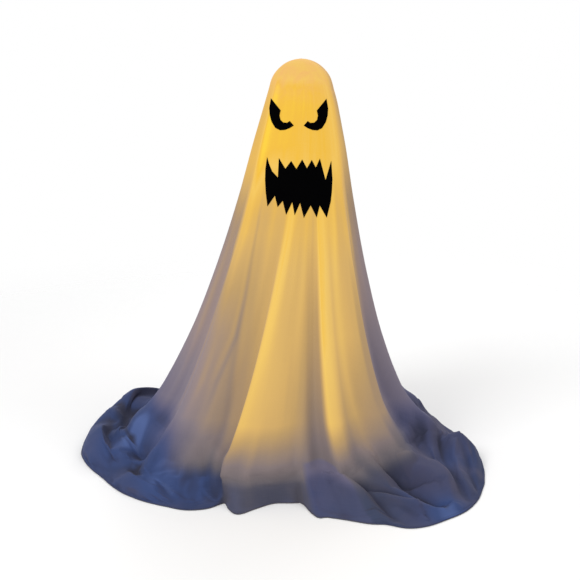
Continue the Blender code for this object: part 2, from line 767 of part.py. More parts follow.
def battery_door():
    """Curved door let into the wall, with a knuckle and arm on the hinge side and a finger lip."""
    panel = turned(
        "battery_door",
        [
            (HOUSING_RADIUS, DOOR_TOP - CLEARANCE),
            (HOUSING_RADIUS, DOOR_BOTTOM + CLEARANCE),
            (HOUSING_INSIDE, DOOR_BOTTOM + CLEARANCE),
            (HOUSING_INSIDE, DOOR_TOP - CLEARANCE),
        ],
        CASE,
    )
    half = DOOR_WIDTH / 2 - CLEARANCE
    reach = HOUSING_RADIUS + OVERRUN
    window_mesh = box_mesh("window", (-half, HOUSING_RADIUS / 2, 0), (half, reach, TOTAL_HEIGHT))
    boolean(panel, add_object("door_window", window_mesh, None, CUTTERS), "INTERSECT")
    low = DOOR_BOTTOM + LUG_INSET + LUG_HEIGHT + CLEARANCE
    high = DOOR_TOP - LUG_INSET - LUG_HEIGHT - CLEARANCE
    half_arm = HINGE_ARM_THICKNESS / 2
    end_circle = HOUSING_RADIUS + half_arm - HINGE_ARM_BITE
    run = turned_about_z(HINGE_ARM_END_ANGLE) @ Vector((end_circle, 0, 0)) - HINGE_PIVOT
    arm = box_mesh("hinge_arm", (0, -half_arm, low), (run.length, half_arm, high))
    arm_turn = Matrix.Rotation(math.atan2(run.y, run.x), 4, "Z")
    join(panel, arm, Matrix.Translation(HINGE_PIVOT) @ arm_turn)
    join(
        panel,
        cylinder_mesh("knuckle", KNUCKLE_RADIUS, low, high, SMALL_STEPS),
        Matrix.Translation(HINGE_PIVOT),
    )
    lip_face = math.sqrt(HOUSING_INSIDE**2 - half**2)
    lip = box_mesh(
        "finger_lip",
        (half - 2 * DOOR_LIP, lip_face, (low + high) / 2 - LUG_HEIGHT),
        (half - DOOR_LIP, HOUSING_RADIUS, (low + high) / 2 + LUG_HEIGHT),
    )
    join(panel, lip)
    cut(
        panel,
        cylinder_mesh("knuckle_bore", HINGE_BORE, low - OVERRUN, high + OVERRUN, SMALL_STEPS),
        Matrix.Translation(HINGE_PIVOT),
    )
    pin_low, pin_high = DOOR_BOTTOM + LUG_INSET, DOOR_TOP - LUG_INSET
    pin_mesh = cylinder_mesh("door_hinge_pin", HINGE_PIN_RADIUS, pin_low, pin_high, SMALL_STEPS)
    pin = add_object("door_hinge_pin", pin_mesh, BRIGHT)
    pin.matrix_world = Matrix.Translation(HINGE_PIVOT)


def battery_row():
    """Tray on the housing floor with three cells between two contact strips."""
    back = SLEEVE_RADIUS + CLEARANCE
    face = back + TRAY_WALL
    cell_axis = face + CLEARANCE + CELL_RADIUS
    front = cell_axis + CELL_RADIUS + LEDGE_OVERHANG
    low = HOUSING_FLOOR_TOP + CLEARANCE
    contact_low = low + LEDGE_THICKNESS + CLEARANCE
    cell_low = contact_low + CONTACT_THICKNESS + CLEARANCE
    cell_top = cell_low + CELL_HEIGHT + CELL_NUB_HEIGHT
    contact_high = cell_top + CLEARANCE
    ledge_high = contact_high + CONTACT_THICKNESS + CLEARANCE
    high = ledge_high + LEDGE_THICKNESS
    outline = [
        (back, low),
        (front, low),
        (front, low + LEDGE_THICKNESS),
        (face, low + LEDGE_THICKNESS),
        (face, ledge_high),
        (front, ledge_high),
        (front, high),
        (back, high),
    ]
    tray = outline_curve("battery_tray", outline, TRAY_WIDTH, CASE)
    tray.rotation_euler = (math.radians(90), 0, math.radians(90))
    for name, height in (("contact_strip_lower", contact_low), ("contact_strip_upper", contact_high)):
        strip = box_mesh(
            name,
            (-CONTACT_WIDTH / 2, face + CLEARANCE, height),
            (CONTACT_WIDTH / 2, front, height + CONTACT_THICKNESS),
        )
        add_object(name, strip, BRIGHT)
    for number in range(CELL_COUNT):
        cell = turned(
            f"battery_cell_{number + 1}",
            [
                (0, cell_top),
                (CELL_NUB_RADIUS, cell_top),
                (CELL_NUB_RADIUS, cell_top - CELL_NUB_HEIGHT),
                (CELL_RADIUS, cell_top - CELL_NUB_HEIGHT),
                (CELL_RADIUS, cell_low),
                (0, cell_low),
            ],
            CELL_WRAP,
            steps=SMALL_STEPS,
            closed=False,
        )
        cell.location = ((number - (CELL_COUNT - 1) / 2) * CELL_PITCH, cell_axis, 0)


def outline_curve(name, points, width, finish):
    """A flat outline as a filled 2D curve, extruded to a width about its own plane."""
    curve = bpy.data.curves.new(name, "CURVE")
    curve.dimensions = "2D"
    curve.fill_mode = "BOTH"
    curve.extrude = width / 2
    spline = curve.splines.new("POLY")
    spline.points.add(len(points) - 1)
    for point, (across, up) in zip(spline.points, points):
        point.co = (across, up, 0, 1)
    spline.use_cyclic_u = True
    made = bpy.data.objects.new(name, curve)
    PARTS.objects.link(made)
    if finish:
        curve.materials.append(finish)
    return made


def button_back():
    """How far from the pole's axis the power button's stem ends."""
    edge = math.sqrt(HOUSING_INSIDE**2 - BUTTON_FLANGE_RADIUS**2)
    return edge - CLEARANCE - BUTTON_FLANGE_THICKNESS - BUTTON_STEM_LENGTH


def switch_back():
    """How far from the pole's axis the switch's back face is."""
    return button_back() - BUTTON_TRAVEL - CLEARANCE - SWITCH_PLUNGER_LENGTH - SWITCH_DEPTH


def power_button():
    """Push button in the front of the housing, and the push switch behind it."""
    stem_end = button_back()
    flange_back = stem_end + BUTTON_STEM_LENGTH
    flange_face = flange_back + BUTTON_FLANGE_THICKNESS
    tip = HOUSING_RADIUS + BUTTON_PROUD
    button = turned(
        "power_button",
        [
            (0, tip),
            (BUTTON_RADIUS - BUTTON_ROUNDING, tip),
            (BUTTON_RADIUS, tip - BUTTON_ROUNDING),
            (BUTTON_RADIUS, flange_face),
            (BUTTON_FLANGE_RADIUS, flange_face),
            (BUTTON_FLANGE_RADIUS, flange_back),
            (BUTTON_STEM_RADIUS, flange_back),
            (BUTTON_STEM_RADIUS, stem_end),
            (0, stem_end),
        ],
        RED,
        steps=MEDIUM_STEPS,
        closed=False,
    )
    forward = Matrix.Translation((0, 0, BUTTON_HEIGHT)) @ Matrix.Rotation(math.radians(90), 4, "X")
    button.matrix_world = forward
    half = SWITCH_SIDE / 2
    back = switch_back()
    switch = add_object(
        "push_switch",
        box_mesh("push_switch", (-half, -half, back), (half, half, back + SWITCH_DEPTH)),
        MOULDED,
    )
    switch.matrix_world = forward
    plunger = cylinder_mesh(
        "plunger",
        SWITCH_PLUNGER_RADIUS,
        back + SWITCH_DEPTH / 2,
        back + SWITCH_DEPTH + SWITCH_PLUNGER_LENGTH,
        SMALL_STEPS,
    )
    join(switch, plunger, forward)


def housing_lid():
    """Lid with a ring that seats the light tube, and its three screws."""
    low = HOUSING_TOP + CLEARANCE
    seat = LIGHT_TUBE_RADIUS + CLEARANCE
    lid = turned(
        "housing_lid",
        [
            (seat + TUBE_SEAT_WALL, LID_TOP + TUBE_SEAT_HEIGHT),
            (seat + TUBE_SEAT_WALL, LID_TOP),
            (HOUSING_RADIUS, LID_TOP),
            (HOUSING_RADIUS, low),
            (POLE_BORE, low),
            (POLE_BORE, LID_TOP),
            (seat, LID_TOP),
            (seat, LID_TOP + TUBE_SEAT_HEIGHT),
        ],
        CASE,
    )
    bore = cylinder_mesh("lid_screw_bore", LID_SCREW_HOLE, low - OVERRUN, LID_TOP + OVERRUN, SMALL_STEPS)
    out = Matrix.Translation((LID_SCREW_CIRCLE, 0, 0))
    for angle in LID_SCREW_ANGLES:
        cut(lid, bore, turned_about_z(angle) @ out)
    head_radius, head_height = LID_SCREW_HEAD_RADIUS, LID_SCREW_HEAD_HEIGHT
    profile = screw_profile(LID_SCREW_RADIUS, head_radius, head_height, LID_SCREW_LENGTH)
    fastener = turned("lid_screw_pattern", profile, BRIGHT, steps=SMALL_STEPS, closed=False)
    fastener.matrix_world = Matrix.Translation((LID_SCREW_CIRCLE, 0, LID_TOP + CLEARANCE))
    copies_round_pole("lid_screw", fastener, BRIGHT, LID_SCREW_ANGLES)


def light_column():
    """Frosted tube round the pole, the cap that closes it, and the LED strips inside."""
    bottom = LID_TOP + CLEARANCE
    turned(
        "light_tube",
        [
            (LIGHT_TUBE_RADIUS, LIGHT_TUBE_TOP),
            (LIGHT_TUBE_RADIUS, bottom),
            (LIGHT_TUBE_RADIUS - LIGHT_TUBE_WALL, bottom),
            (LIGHT_TUBE_RADIUS - LIGHT_TUBE_WALL, LIGHT_TUBE_TOP),
        ],
        MILKY,
    )
    seat = LIGHT_TUBE_RADIUS + CLEARANCE
    cap_low = LIGHT_TUBE_TOP + CLEARANCE
    cap_top = cap_low + TUBE_CAP_THICKNESS
    chamfer = TUBE_CAP_THICKNESS / 3
    turned(
        "light_tube_cap",
        [
            (seat + TUBE_SEAT_WALL - chamfer, cap_top),
            (seat + TUBE_SEAT_WALL, cap_top - chamfer),
            (seat + TUBE_SEAT_WALL, LIGHT_TUBE_TOP - TUBE_SEAT_HEIGHT),
            (seat, LIGHT_TUBE_TOP - TUBE_SEAT_HEIGHT),
            (seat, cap_low),
            (POLE_BORE, cap_low),
            (POLE_BORE, cap_top),
        ],
        CASE,
    )
    low, high = bottom + LED_STRIP_MARGIN, LIGHT_TUBE_TOP - LED_STRIP_MARGIN
    pitch = (high - low) / LED_COUNT
    face = POLE_BORE + LED_STRIP_THICKNESS
    outline = [(POLE_BORE, high), (POLE_BORE, low), (face, low)]
    for number in range(LED_COUNT):
        middle = low + (number + 0.5) * pitch
        outline += [
            (face, middle - LED_LENGTH / 2),
            (face + LED_HEIGHT, middle - LED_LENGTH / 2),
            (face + LED_HEIGHT, middle + LED_LENGTH / 2),
            (face, middle + LED_LENGTH / 2),
        ]
    outline.append((face, high))
    for number, angle in enumerate(LED_STRIP_ANGLES, start=1):
        strip = outline_curve(f"led_strip_{number}", outline, LED_STRIP_WIDTH, BOARD)
        strip.rotation_euler = (math.radians(90), 0, math.radians(angle))


def crown_profile(radius, top, floor=HEAD_EQUATOR_HEIGHT):
    """The head's rings as (radius, height) points, from the crown down."""
    rise = top - floor
    rings = [math.radians(angle) for angle in CROWN_RING_ANGLES]
    return [(radius * math.sin(a), floor + rise * math.cos(a)) for a in rings]


def head_former():
    """Milky dome that gives the head its shape, the tray below it, the pole's plug and the screw."""
    rim = TRAY_TOP + CLEARANCE
    outer_top = COVER_TOP - CROWN_GAP
    outer = [(0, outer_top), *crown_profile(DOME_RADIUS, outer_top), (DOME_RADIUS, HEAD_EQUATOR_HEIGHT)]
    inner_radius = DOME_RADIUS - DOME_WALL
    inner_top = outer_top - DOME_WALL
    inner = [(0, inner_top), *crown_profile(inner_radius, inner_top), (inner_radius, HEAD_EQUATOR_HEIGHT)]
    profile = [*outer, (DOME_RADIUS, rim), (inner_radius, rim), *reversed(inner)]
    turned("head_dome", profile, MILKY, closed=False)

    low = TRAY_HEIGHT + CLEARANCE
    spigot = inner_radius - CLEARANCE
    socket = POLE_BORE + TRAY_SOCKET_WALL
    turned(
        "head_tray",
        [
            (spigot, TRAY_TOP + TRAY_RIM_HEIGHT),
            (spigot, TRAY_TOP),
            (DOME_RADIUS, TRAY_TOP),
            (DOME_RADIUS, low),
            (socket, low),
            (socket, TRAY_SOCKET_END),
            (POLE_BORE, TRAY_SOCKET_END),
            (POLE_BORE, low),
            (SCREW_HOLE, low),
            (SCREW_HOLE, TRAY_TOP),
            (spigot - TRAY_RIM_WALL, TRAY_TOP),
            (spigot - TRAY_RIM_WALL, TRAY_TOP + TRAY_RIM_HEIGHT),
        ],
        CASE,
    )
    plug_radius = POLE_INSIDE - CLEARANCE
    turned(
        "pole_plug",
        [
            (plug_radius, POLE_TOP - CLEARANCE),
            (plug_radius, POLE_TOP - CLEARANCE - PLUG_HEIGHT),
            (SCREW_HOLE, POLE_TOP - CLEARANCE - PLUG_HEIGHT),
            (SCREW_HOLE, POLE_TOP - CLEARANCE),
        ],
        MOULDED,
        steps=MEDIUM_STEPS,
    )
    profile = screw_profile(SCREW_RADIUS, SCREW_HEAD_RADIUS, SCREW_HEAD_HEIGHT, PLUG_HEIGHT)
    screw = turned("tray_screw", profile, BRIGHT, steps=SMALL_STEPS, closed=False)
    screw.location = (0, 0, TRAY_TOP + CLEARANCE)


def mixed(values, fold, share):
    """A value between one fold and the next one round the cover."""
    following = values[(fold + 1) % len(values)]
    return values[fold] * (1 - share) + following * share


def fold_angle(fold, share, drop):
    """The angle from the front of a place between two folds, at a share of the drop to the hem."""
    ridges = []
    for number in (fold, fold + 1):
        head, hem = FOLD_ANGLES[number % len(FOLD_ANGLES)]
        lap = 360 * (number // len(FOLD_ANGLES))
        ridges.append(head + (hem - head) * drop + lap)
    return math.radians(ridges[0] * (1 - share) + ridges[1] * share)


def eased(share):
    """A share that starts and ends gently."""
    return share * share * (3 - 2 * share)


def cover_rings():
    """The cover's inner surface, from the crown's first ring to the hem, as rings of points."""
    places = []
    for fold in range(len(FOLD_ANGLES)):
        places += [(fold, step / COLUMNS_PER_FOLD) for step in range(COLUMNS_PER_FOLD)]
    rings = []
    for radius, height in crown_profile(HEAD_RADIUS, COVER_TOP):
        rings.append([on_cover(fold_angle(fold, share, 0), radius, height, 0) for fold, share in places])
    drop_height = HEAD_EQUATOR_HEIGHT - FOOT_HEIGHT
    for drop, out, depth in SKIRT_RING_SHARES:
        height = HEAD_EQUATOR_HEIGHT - drop * drop_height
        ring = []
        for fold, share in places:
            angle = fold_angle(fold, share, drop)
            reach = 1 + (mixed(FOOT_REACH_SHARES, fold, share) - 1) * eased(drop)
            radius = (HEAD_RADIUS + (FOOT_RADIUS - HEAD_RADIUS) * out) * reach
            swing = math.cos(math.tau * share) * face_calm(angle, height)
            wave = FOLD_DEPTH * depth * mixed(FOLD_DEPTH_SHARES, fold, share) * swing
            ring.append(on_cover(angle, radius + wave, height, drop))
        rings.append(ring)
    for out, rise, depth in PILE_RING_SHARES:
        ring = []
        for fold, share in places:
            foot = FOOT_RADIUS * mixed(FOOT_REACH_SHARES, fold, share)
            hem = HEM_RADIUS * mixed(HEM_REACH_SHARES, fold, share)
            swing = math.cos(math.tau * share)
            wave = FOLD_DEPTH * depth * swing + HEM_WAVE * out * swing
            pile = PILE_HEIGHT * mixed(PILE_HEIGHT_SHARES, fold, share)
            height = FLOOR_GAP + pile * rise * (1 + swing * (1 - rise) / 2)
            radius = foot + (hem - foot) * out + wave
            ring.append(on_cover(fold_angle(fold, share, 1), radius, height, 1))
        rings.append(ring)
    return rings


def face_calm(angle, height):
    """How much of the folds shows: little under the face, all of it elsewhere."""
    from_front = math.degrees(math.acos(math.cos(angle)))
    beside = (from_front - FOLD_START_ANGLE) / (FOLD_FULL_ANGLE - FOLD_START_ANGLE)
    chin = MOUTH_CENTRE_HEIGHT - MOUTH_HEIGHT / 2
    below = (chin - height) / MOUTH_HEIGHT
    return eased(min(1.0, max(0.0, beside, below)))


def on_cover(angle, radius, height, drop):
    """A point at an angle from the front, about the cloth's own axis, which leans towards -X."""
    across = radius * math.sin(angle) - FLOOR_LEAN * drop
    return Vector((across, -radius * math.cos(angle), height))


def cover_surface(name):
    """The cover's inner surface as an open mesh of triangles: a fan at the crown and rows below it."""
    rings = cover_rings()
    mesh = bpy.data.meshes.new(name)
    shape = bmesh.new()
    crown = shape.verts.new((0, 0, COVER_TOP))
    rows = [[shape.verts.new(point) for point in ring] for ring in rings]
    count = len(rows[0])
    for i in range(count):
        shape.faces.new((crown, rows[0][i], rows[0][(i + 1) % count]))
    for upper, lower in zip(rows, rows[1:]):
        for i in range(count):
            following = (i + 1) % count
            shape.faces.new((upper[i], lower[i], lower[following]))
            shape.faces.new((upper[i], lower[following], upper[following]))
    shape.to_mesh(mesh)
    shape.free()
    shade(mesh, CLOTH_SHARP_ANGLE)
    return mesh


def with_thickness(piece, thickness, start=0.0):
    """Gives an open surface a wall that starts at a distance outside it."""
    skin = piece.modifiers.new("cloth", "SOLIDIFY")
    skin.thickness = thickness
    skin.offset = 1 + 2 * start / thickness
    skin.use_even_offset = True


def ghost_cover():
    """The draped cloth: open at the hem, standing a hair above the floor."""
    cover = add_object("ghost_cover", cover_surface("ghost_cover"), CLOTH)
    with_thickness(cover, CLOTH_THICKNESS)


def felt_patch(name, outline, centre, half_width, half_height):
    """A felt shape on the front of the cover: a layer of the cover's own form inside an outline."""
    points = [(centre[0] + x * half_width, centre[1] + z * half_height) for x, z in outline]
    prism = outline_curve(name + "_outline", points, FOOT_RADIUS, None)
    forward = Matrix.Translation((0, -FOOT_RADIUS / 2 - POLE_RADIUS, 0))
    prism.matrix_world = forward @ Matrix.Rotation(math.radians(90), 4, "X")
    mesh = baked(prism)
    bpy.data.objects.remove(prism)
    caps = bmesh.new()
    caps.from_mesh(mesh)
    bmesh.ops.remove_doubles(caps, verts=caps.verts, dist=WELD_DISTANCE)
    bmesh.ops.recalc_face_normals(caps, faces=caps.faces)
    caps.to_mesh(mesh)
    caps.free()
    patch = add_object(name, cover_surface(name), FELT)
    with_thickness(patch, FELT_THICKNESS, CLOTH_THICKNESS + CLEARANCE)
    boolean(patch, add_object(name + "_prism", mesh, None, CUTTERS), "INTERSECT")


def ghost_face():
    """Two scowling eyes, one the mirror image of the other, and the toothed mouth."""
    mirrored = [(-x, z) for x, z in EYE_OUTLINE_SHARES]
    for name, side, outline in (("eye_left", -1, EYE_OUTLINE_SHARES), ("eye_right", 1, mirrored)):
        centre = (side * EYE_SPACING / 2 - FACE_SHIFT, EYE_CENTRE_HEIGHT)
        felt_patch(name, outline, centre, EYE_WIDTH / 2, EYE_HEIGHT / 2)
    centre = (-FACE_SHIFT, MOUTH_CENTRE_HEIGHT)
    felt_patch("mouth", MOUTH_OUTLINE_SHARES, centre, MOUTH_WIDTH / 2, MOUTH_HEIGHT / 2)


base_hub()
base_legs()
poles()
snap_lock()
lamp_housing()
battery_door()
battery_row()
power_button()
housing_lid()
light_column()
head_former()
ghost_cover()
ghost_face()
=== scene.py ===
# %% [markdown]
# # A standing light-up ghost
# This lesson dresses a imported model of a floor-standing ghost: a thin cloth cover with a felt face,
# draped over a plastic head, a column of small lamps and a stand with four legs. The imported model
# gives every rigid piece its true size and place. Here the cloth gets its folds, the felt its fuzz,
# and each plastic and steel piece its finish.

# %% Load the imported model
import math

import bmesh
import bpy
import numpy as np
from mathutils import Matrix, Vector, geometry
from mathutils.bvhtree import BVHTree


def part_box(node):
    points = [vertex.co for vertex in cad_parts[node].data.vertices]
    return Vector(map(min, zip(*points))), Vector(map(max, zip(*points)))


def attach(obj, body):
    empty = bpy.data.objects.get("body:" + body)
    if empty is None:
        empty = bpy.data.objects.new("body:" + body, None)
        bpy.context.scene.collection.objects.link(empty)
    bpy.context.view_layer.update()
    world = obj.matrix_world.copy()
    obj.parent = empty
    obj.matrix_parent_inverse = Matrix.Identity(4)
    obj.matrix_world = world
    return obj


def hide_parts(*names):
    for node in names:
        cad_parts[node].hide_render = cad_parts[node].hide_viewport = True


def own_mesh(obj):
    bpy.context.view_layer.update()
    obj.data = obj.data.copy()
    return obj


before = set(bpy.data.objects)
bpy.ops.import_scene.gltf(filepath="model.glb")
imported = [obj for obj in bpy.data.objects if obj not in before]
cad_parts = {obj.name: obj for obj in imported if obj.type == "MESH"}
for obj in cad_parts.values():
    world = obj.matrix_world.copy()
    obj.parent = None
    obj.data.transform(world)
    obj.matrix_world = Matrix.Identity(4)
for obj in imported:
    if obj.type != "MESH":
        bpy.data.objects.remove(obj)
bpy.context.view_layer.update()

# %% [markdown]
# ## Camera
# The ghost was seen from the front, from a little above the height of its eyes. A long lens from
# 2.8 m keeps its sides nearly straight. A lens length is easy to work out: the focal length in
# pixels times the width of the sensor, over the width of the image.

# %% Camera
def new_object(name, data):
    """A new object in the scene."""
    made = bpy.data.objects.new(name, data)
    bpy.context.scene.collection.objects.link(made)
    return made


IMAGE_SIDE = 580
FOCAL_PIXELS = 948
CAMERA_PLACE = (-0.0325, -2.8, 1.25)
CAMERA_PITCH = 14.75

camera_data = bpy.data.cameras.new("camera")
camera_data.sensor_width = 36
camera_data.lens = FOCAL_PIXELS * camera_data.sensor_width / IMAGE_SIDE
camera = new_object("camera", camera_data)
camera.location = CAMERA_PLACE
camera.rotation_euler = (math.radians(90 - CAMERA_PITCH), 0, 0)
bpy.context.scene.camera = camera
print("lens", round(camera_data.lens, 2), "mm")

# %% [markdown]
# ## Adding nodes
# A finish in Blender is a tree of nodes, and each node is added by the same few moves: make it, set
# its properties, then give each input a number or link it to another node. These short functions do
# that, so that a material reads as a list of what it does. Others follow where they are first needed.

# %% Adding nodes
def fill(tree, made, **inputs):
    """Sets a node's inputs to numbers or sockets, by name or by number written as _0."""
    for key, value in inputs.items():
        socket = made.inputs[int(key[1:])] if key[0] == "_" else made.inputs[key.replace("_", " ")]
        if isinstance(value, bpy.types.NodeSocket):
            tree.links.new(value, socket)
        else:
            socket.default_value = value


def node(tree, kind, settings=None, **inputs):
    """Adds a node, sets its properties and then its inputs."""
    made = tree.nodes.new(kind)
    for key, value in (settings or {}).items():
        setattr(made, key, value)
    fill(tree, made, **inputs)
    return made


def object_place(tree):
    """The place on the object, in metres."""
    return node(tree, "ShaderNodeTexCoord").outputs["Object"]


def span(tree, value, low, high, to_low=0.0, to_high=1.0, smooth=False):
    """Maps a value from one range onto another, and clamps it there."""
    made = node(tree, "ShaderNodeMapRange", {"clamp": True}, _0=value, _1=low, _2=high, _3=to_low, _4=to_high)
    made.interpolation_type = "SMOOTHSTEP" if smooth else "LINEAR"
    return made.outputs["Result"]


def maths(tree, operation, a, b=0.0):
    """One sum, with numbers or sockets."""
    return node(tree, "ShaderNodeMath", {"operation": operation}, _0=a, _1=b).outputs[0]


def new_material(name):
    """A material with its own Principled shader, as (material, tree, shader)."""
    made = bpy.data.materials.new(name)
    made.use_nodes = True
    return made, made.node_tree, made.node_tree.nodes["Principled BSDF"]


print("helpers for nodes:", [helper.__name__ for helper in (fill, node, span, maths)])

# %% [markdown]
# ## Floor, backdrop and light
# The ghost stands on a plain pale floor that fades into a white surround, so only its shadow shows.
# The surround is white to the camera and to gloss alone. The light itself is a soft even sky and three
# large soft lamps, at a level where a colour comes out about as it is written.

# %% Floor and backdrop
FLOOR_RADIUS = 3.2
FLOOR_FADE_START, FLOOR_FADE_END = 1.1, 3.0
FLOOR_COLOUR = (0.93, 0.93, 0.93, 1)
SKY_LEVEL = 0.62

floor_mesh = bpy.data.meshes.new("floor")
shape = bmesh.new()
bmesh.ops.create_circle(shape, cap_ends=True, radius=FLOOR_RADIUS, segments=96)
shape.to_mesh(floor_mesh)
shape.free()
floor = new_object("floor", floor_mesh)

floor_finish, tree, shader = new_material("floor")
away = node(tree, "ShaderNodeVectorMath", {"operation": "LENGTH"}, _0=object_place(tree)).outputs["Value"]
fade = span(tree, away, FLOOR_FADE_START, FLOOR_FADE_END, 1.0, 0.0, smooth=True)
fill(tree, shader, Base_Color=FLOOR_COLOUR, Roughness=0.9, Alpha=fade)
floor_mesh.materials.append(floor_finish)

world = bpy.data.worlds.new("surround")
world.use_nodes = True
tree = world.node_tree
path = node(tree, "ShaderNodeLightPath").outputs
direct = maths(tree, "MAXIMUM", path["Is Camera Ray"], path["Is Glossy Ray"])
direct = maths(tree, "MAXIMUM", direct, path["Is Transmission Ray"])
fill(tree, tree.nodes["Background"], Color=(1, 1, 1, 1), Strength=span(tree, direct, 0, 1, SKY_LEVEL, 1.0))
bpy.context.scene.world = world
bpy.context.scene.view_settings.view_transform = "Standard"
print("floor", FLOOR_RADIUS, "m across its half, sky level", SKY_LEVEL)

# %% Lamps
def soft_lamp(name, place, target, side, watts):
    """A square area lamp that looks at a point."""
    data = bpy.data.lights.new(name, "AREA")
    data.shape = "SQUARE"
    data.size = side
    data.energy = watts
    lamp = new_object(name, data)
    lamp.location = place
    lamp.rotation_euler = (Vector(target) - Vector(place)).to_track_quat("-Z", "Y").to_euler()


soft_lamp("key", (-2.6, -2.4, 3.4), (0, 0, 0.5), 2.0, 95)
soft_lamp("fill", (3.0, -1.4, 2.4), (0, 0, 0.4), 2.2, 30)
soft_lamp("back", (0.8, 3.2, 2.8), (0, 0, 0.5), 2.2, 45)

# %% [markdown]
# ## The cover's main form
# The real cover is a thin cloth that was cut as a half circle, sewn up the back and thrown over the
# stand. Under its own weight it falls in long folds and spreads on the floor in a pile. A cloth
# simulation would make some such drape but not this one. So the sheet is a surface with a rule:
# going down it passes through a few rings, and going round it swings in and out in twelve folds. The
# tables start from those of the solid cover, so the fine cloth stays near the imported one. Its foot
# sweeps out a little further on the right, and its left side leans less at mid height.

# %% The cover's sizes and tables
SHEET_OFFSET = 0.0008
HEAD_RADIUS = 0.0963 + SHEET_OFFSET
COVER_TOP = 1.1988 + SHEET_OFFSET
EQUATOR_HEIGHT = 1.095
FOOT_RADIUS = 0.436
FOOT_HEIGHT = 0.085
FLARE_POWER = 2.2
SWEEP_POWER = 12
RIM_HEIGHT = 0.062
RIM_PLACE = 0.62
RIM_INNER_WIDTH = 0.22
RIM_OUTER_WIDTH = 0.50
RIM_EDGE_POWER = 14
RUNNER_HEIGHT = 0.022
ROOM_WIDTH = 0.12
FOLD_DEPTH = 0.027
LEAN_SHARE = 0.30
FLOOR_LEAN = 0.084
LEAN_POWER = 1.35
FLOOR_GAP = 0.0012

CROWN_RING_ANGLES = (27, 55, 84)
# The share of the drop from the head to the foot, the share of the way out, and the folds' share
SKIRT_RING_SHARES = (
    (0.109, 0.088, 0.10),
    (0.292, 0.206, 0.24),
    (0.530, 0.392, 0.46),
    (0.728, 0.584, 0.66),
    (0.820, 0.690, 0.78),
    (0.886, 0.775, 0.88),
    (0.945, 0.880, 0.95),
    (1.000, 1.000, 1.00),
)
# How far from the foot of the skirt to the hem the rings on the floor lie
PILE_RING_SHARES = (0.12, 0.26, 0.42, 0.58, 0.74, 0.88, 0.96, 1.00)
# Angles of the folds from the front, towards +X, at the head and at the hem
FOLD_ANGLES = (
    (2, -18), (20, 30), (50, 56), (73, 80), (103, 109), (133, 135),
    (162, 160), (190, 186), (219, 213), (248, 243), (278, 275), (308, 310),
)
FOLD_DEPTH_SHARES = (0.95, 1.10, 0.80, 0.90, 1.00, 1.10, 0.90, 1.05, 0.95, 1.00, 0.90, 1.00)
# How much of the way to the next fold its steep side takes, and how far each ridge leans over it
STEEP_SHARES = (0.15, 0.40, 0.50, 0.55, 0.42, 0.55, 0.48, 0.40, 0.56, 0.45, 0.38, 0.16)
LEAN_SHARES = (1.00, 1.00, 0.30, 0.00, 0.30, 0.00, 0.10, 0.30, 0.00, 0.20, 0.20, 0.40)
FOOT_REACH_SHARES = (0.86, 0.88, 0.95, 1.00, 0.98, 0.96, 0.95, 0.94, 0.94, 0.92, 0.95, 0.93)
# How much further out the skirt sweeps just above the floor
SWEEP_SHARES = (0.00, 0.02, 0.07, 0.13, 0.09, 0.04, 0.03, 0.03, 0.04, 0.06, 0.08, 0.06)
RIM_HEIGHT_SHARES = (0.00, 0.10, 0.45, 0.85, 0.10, 0.25, 0.60, 0.75, 0.95, 1.20, 1.05, 0.40)
# How high the skirt's foot is, and so how gently it runs out onto the floor
FOOT_HEIGHT_SHARES = (1.00, 1.05, 1.25, 1.25, 1.15, 1.10, 1.00, 1.00, 1.00, 1.00, 1.00, 1.00)

# The hem on the floor, as (angle from the front, distance from the leaning axis in metres)
HEM_LINE = (
    (-105, 0.614), (-92, 0.608), (-82, 0.602), (-74, 0.580), (-66, 0.556), (-56, 0.545),
    (-46, 0.530), (-36, 0.508), (-27, 0.486), (-21.5, 0.450), (-18.6, 0.416), (-15.5, 0.444),
    (-12, 0.468), (-6, 0.430), (0, 0.400), (7, 0.392), (12.2, 0.396), (13.6, 0.462),
    (18, 0.500), (23.5, 0.540), (28, 0.580), (31, 0.602), (33.5, 0.640), (38, 0.670),
    (43, 0.678), (48, 0.688), (54, 0.694), (66, 0.674), (78, 0.654), (92, 0.616), (107, 0.580),
    (135, 0.558), (160, 0.539), (186, 0.533), (213, 0.564), (238, 0.608),
)
print("folds", len(FOLD_ANGLES), "points in the hem line", len(HEM_LINE))

# %% [markdown]
# ## Rules for the surface
# A few small functions carry the whole form. Some ease or mix single values, and two draw a smooth
# line through a table of them. One gives soft noise that closes on itself going round. One gives a
# fold its section: round on top, falling gently to one side and steeply to the other, as hanging
# cloth does. One calms the folds where the face needs the cloth to be smooth.

# %% Rules for the surface
def eased(value):
    """From 0 to 1, starting and ending gently."""
    value = np.clip(value, 0, 1)
    return value * value * (3 - 2 * value)


def mixed(first, second, share):
    """A value between two others: the first at a share of 0 and the second at 1."""
    return first * (1 - share) + second * share


def bell(value, centre, width):
    """1 at the centre, falling away softly on both sides."""
    return np.exp(-(((value - centre) / width) ** 2))


def signed(angle):
    """An angle in degrees as one from -180 to 180, which is 0 in front."""
    return (angle + 180) % 360 - 180


def smooth_through(places, values, at):
    """A smooth line through rows of values at given places, read at many places."""
    steps = np.diff(places)[:, None]
    slopes = np.diff(values, axis=0) / steps
    inner = (slopes[:-1] * steps[1:] + slopes[1:] * steps[:-1]) / (steps[:-1] + steps[1:])
    tangents = np.vstack([slopes[:1], inner, slopes[-1:]])
    part = np.clip(np.searchsorted(places, at, side="right") - 1, 0, len(places) - 2)
    step = steps[part]
    t = (at - places[part])[:, None] / step
    rest = 1 - t
    along = values[part] * (1 + 2 * t) * rest * rest + values[part + 1] * (3 - 2 * t) * t * t
    return along + step * (tangents[part] * t * rest * rest - tangents[part + 1] * t * t * rest)


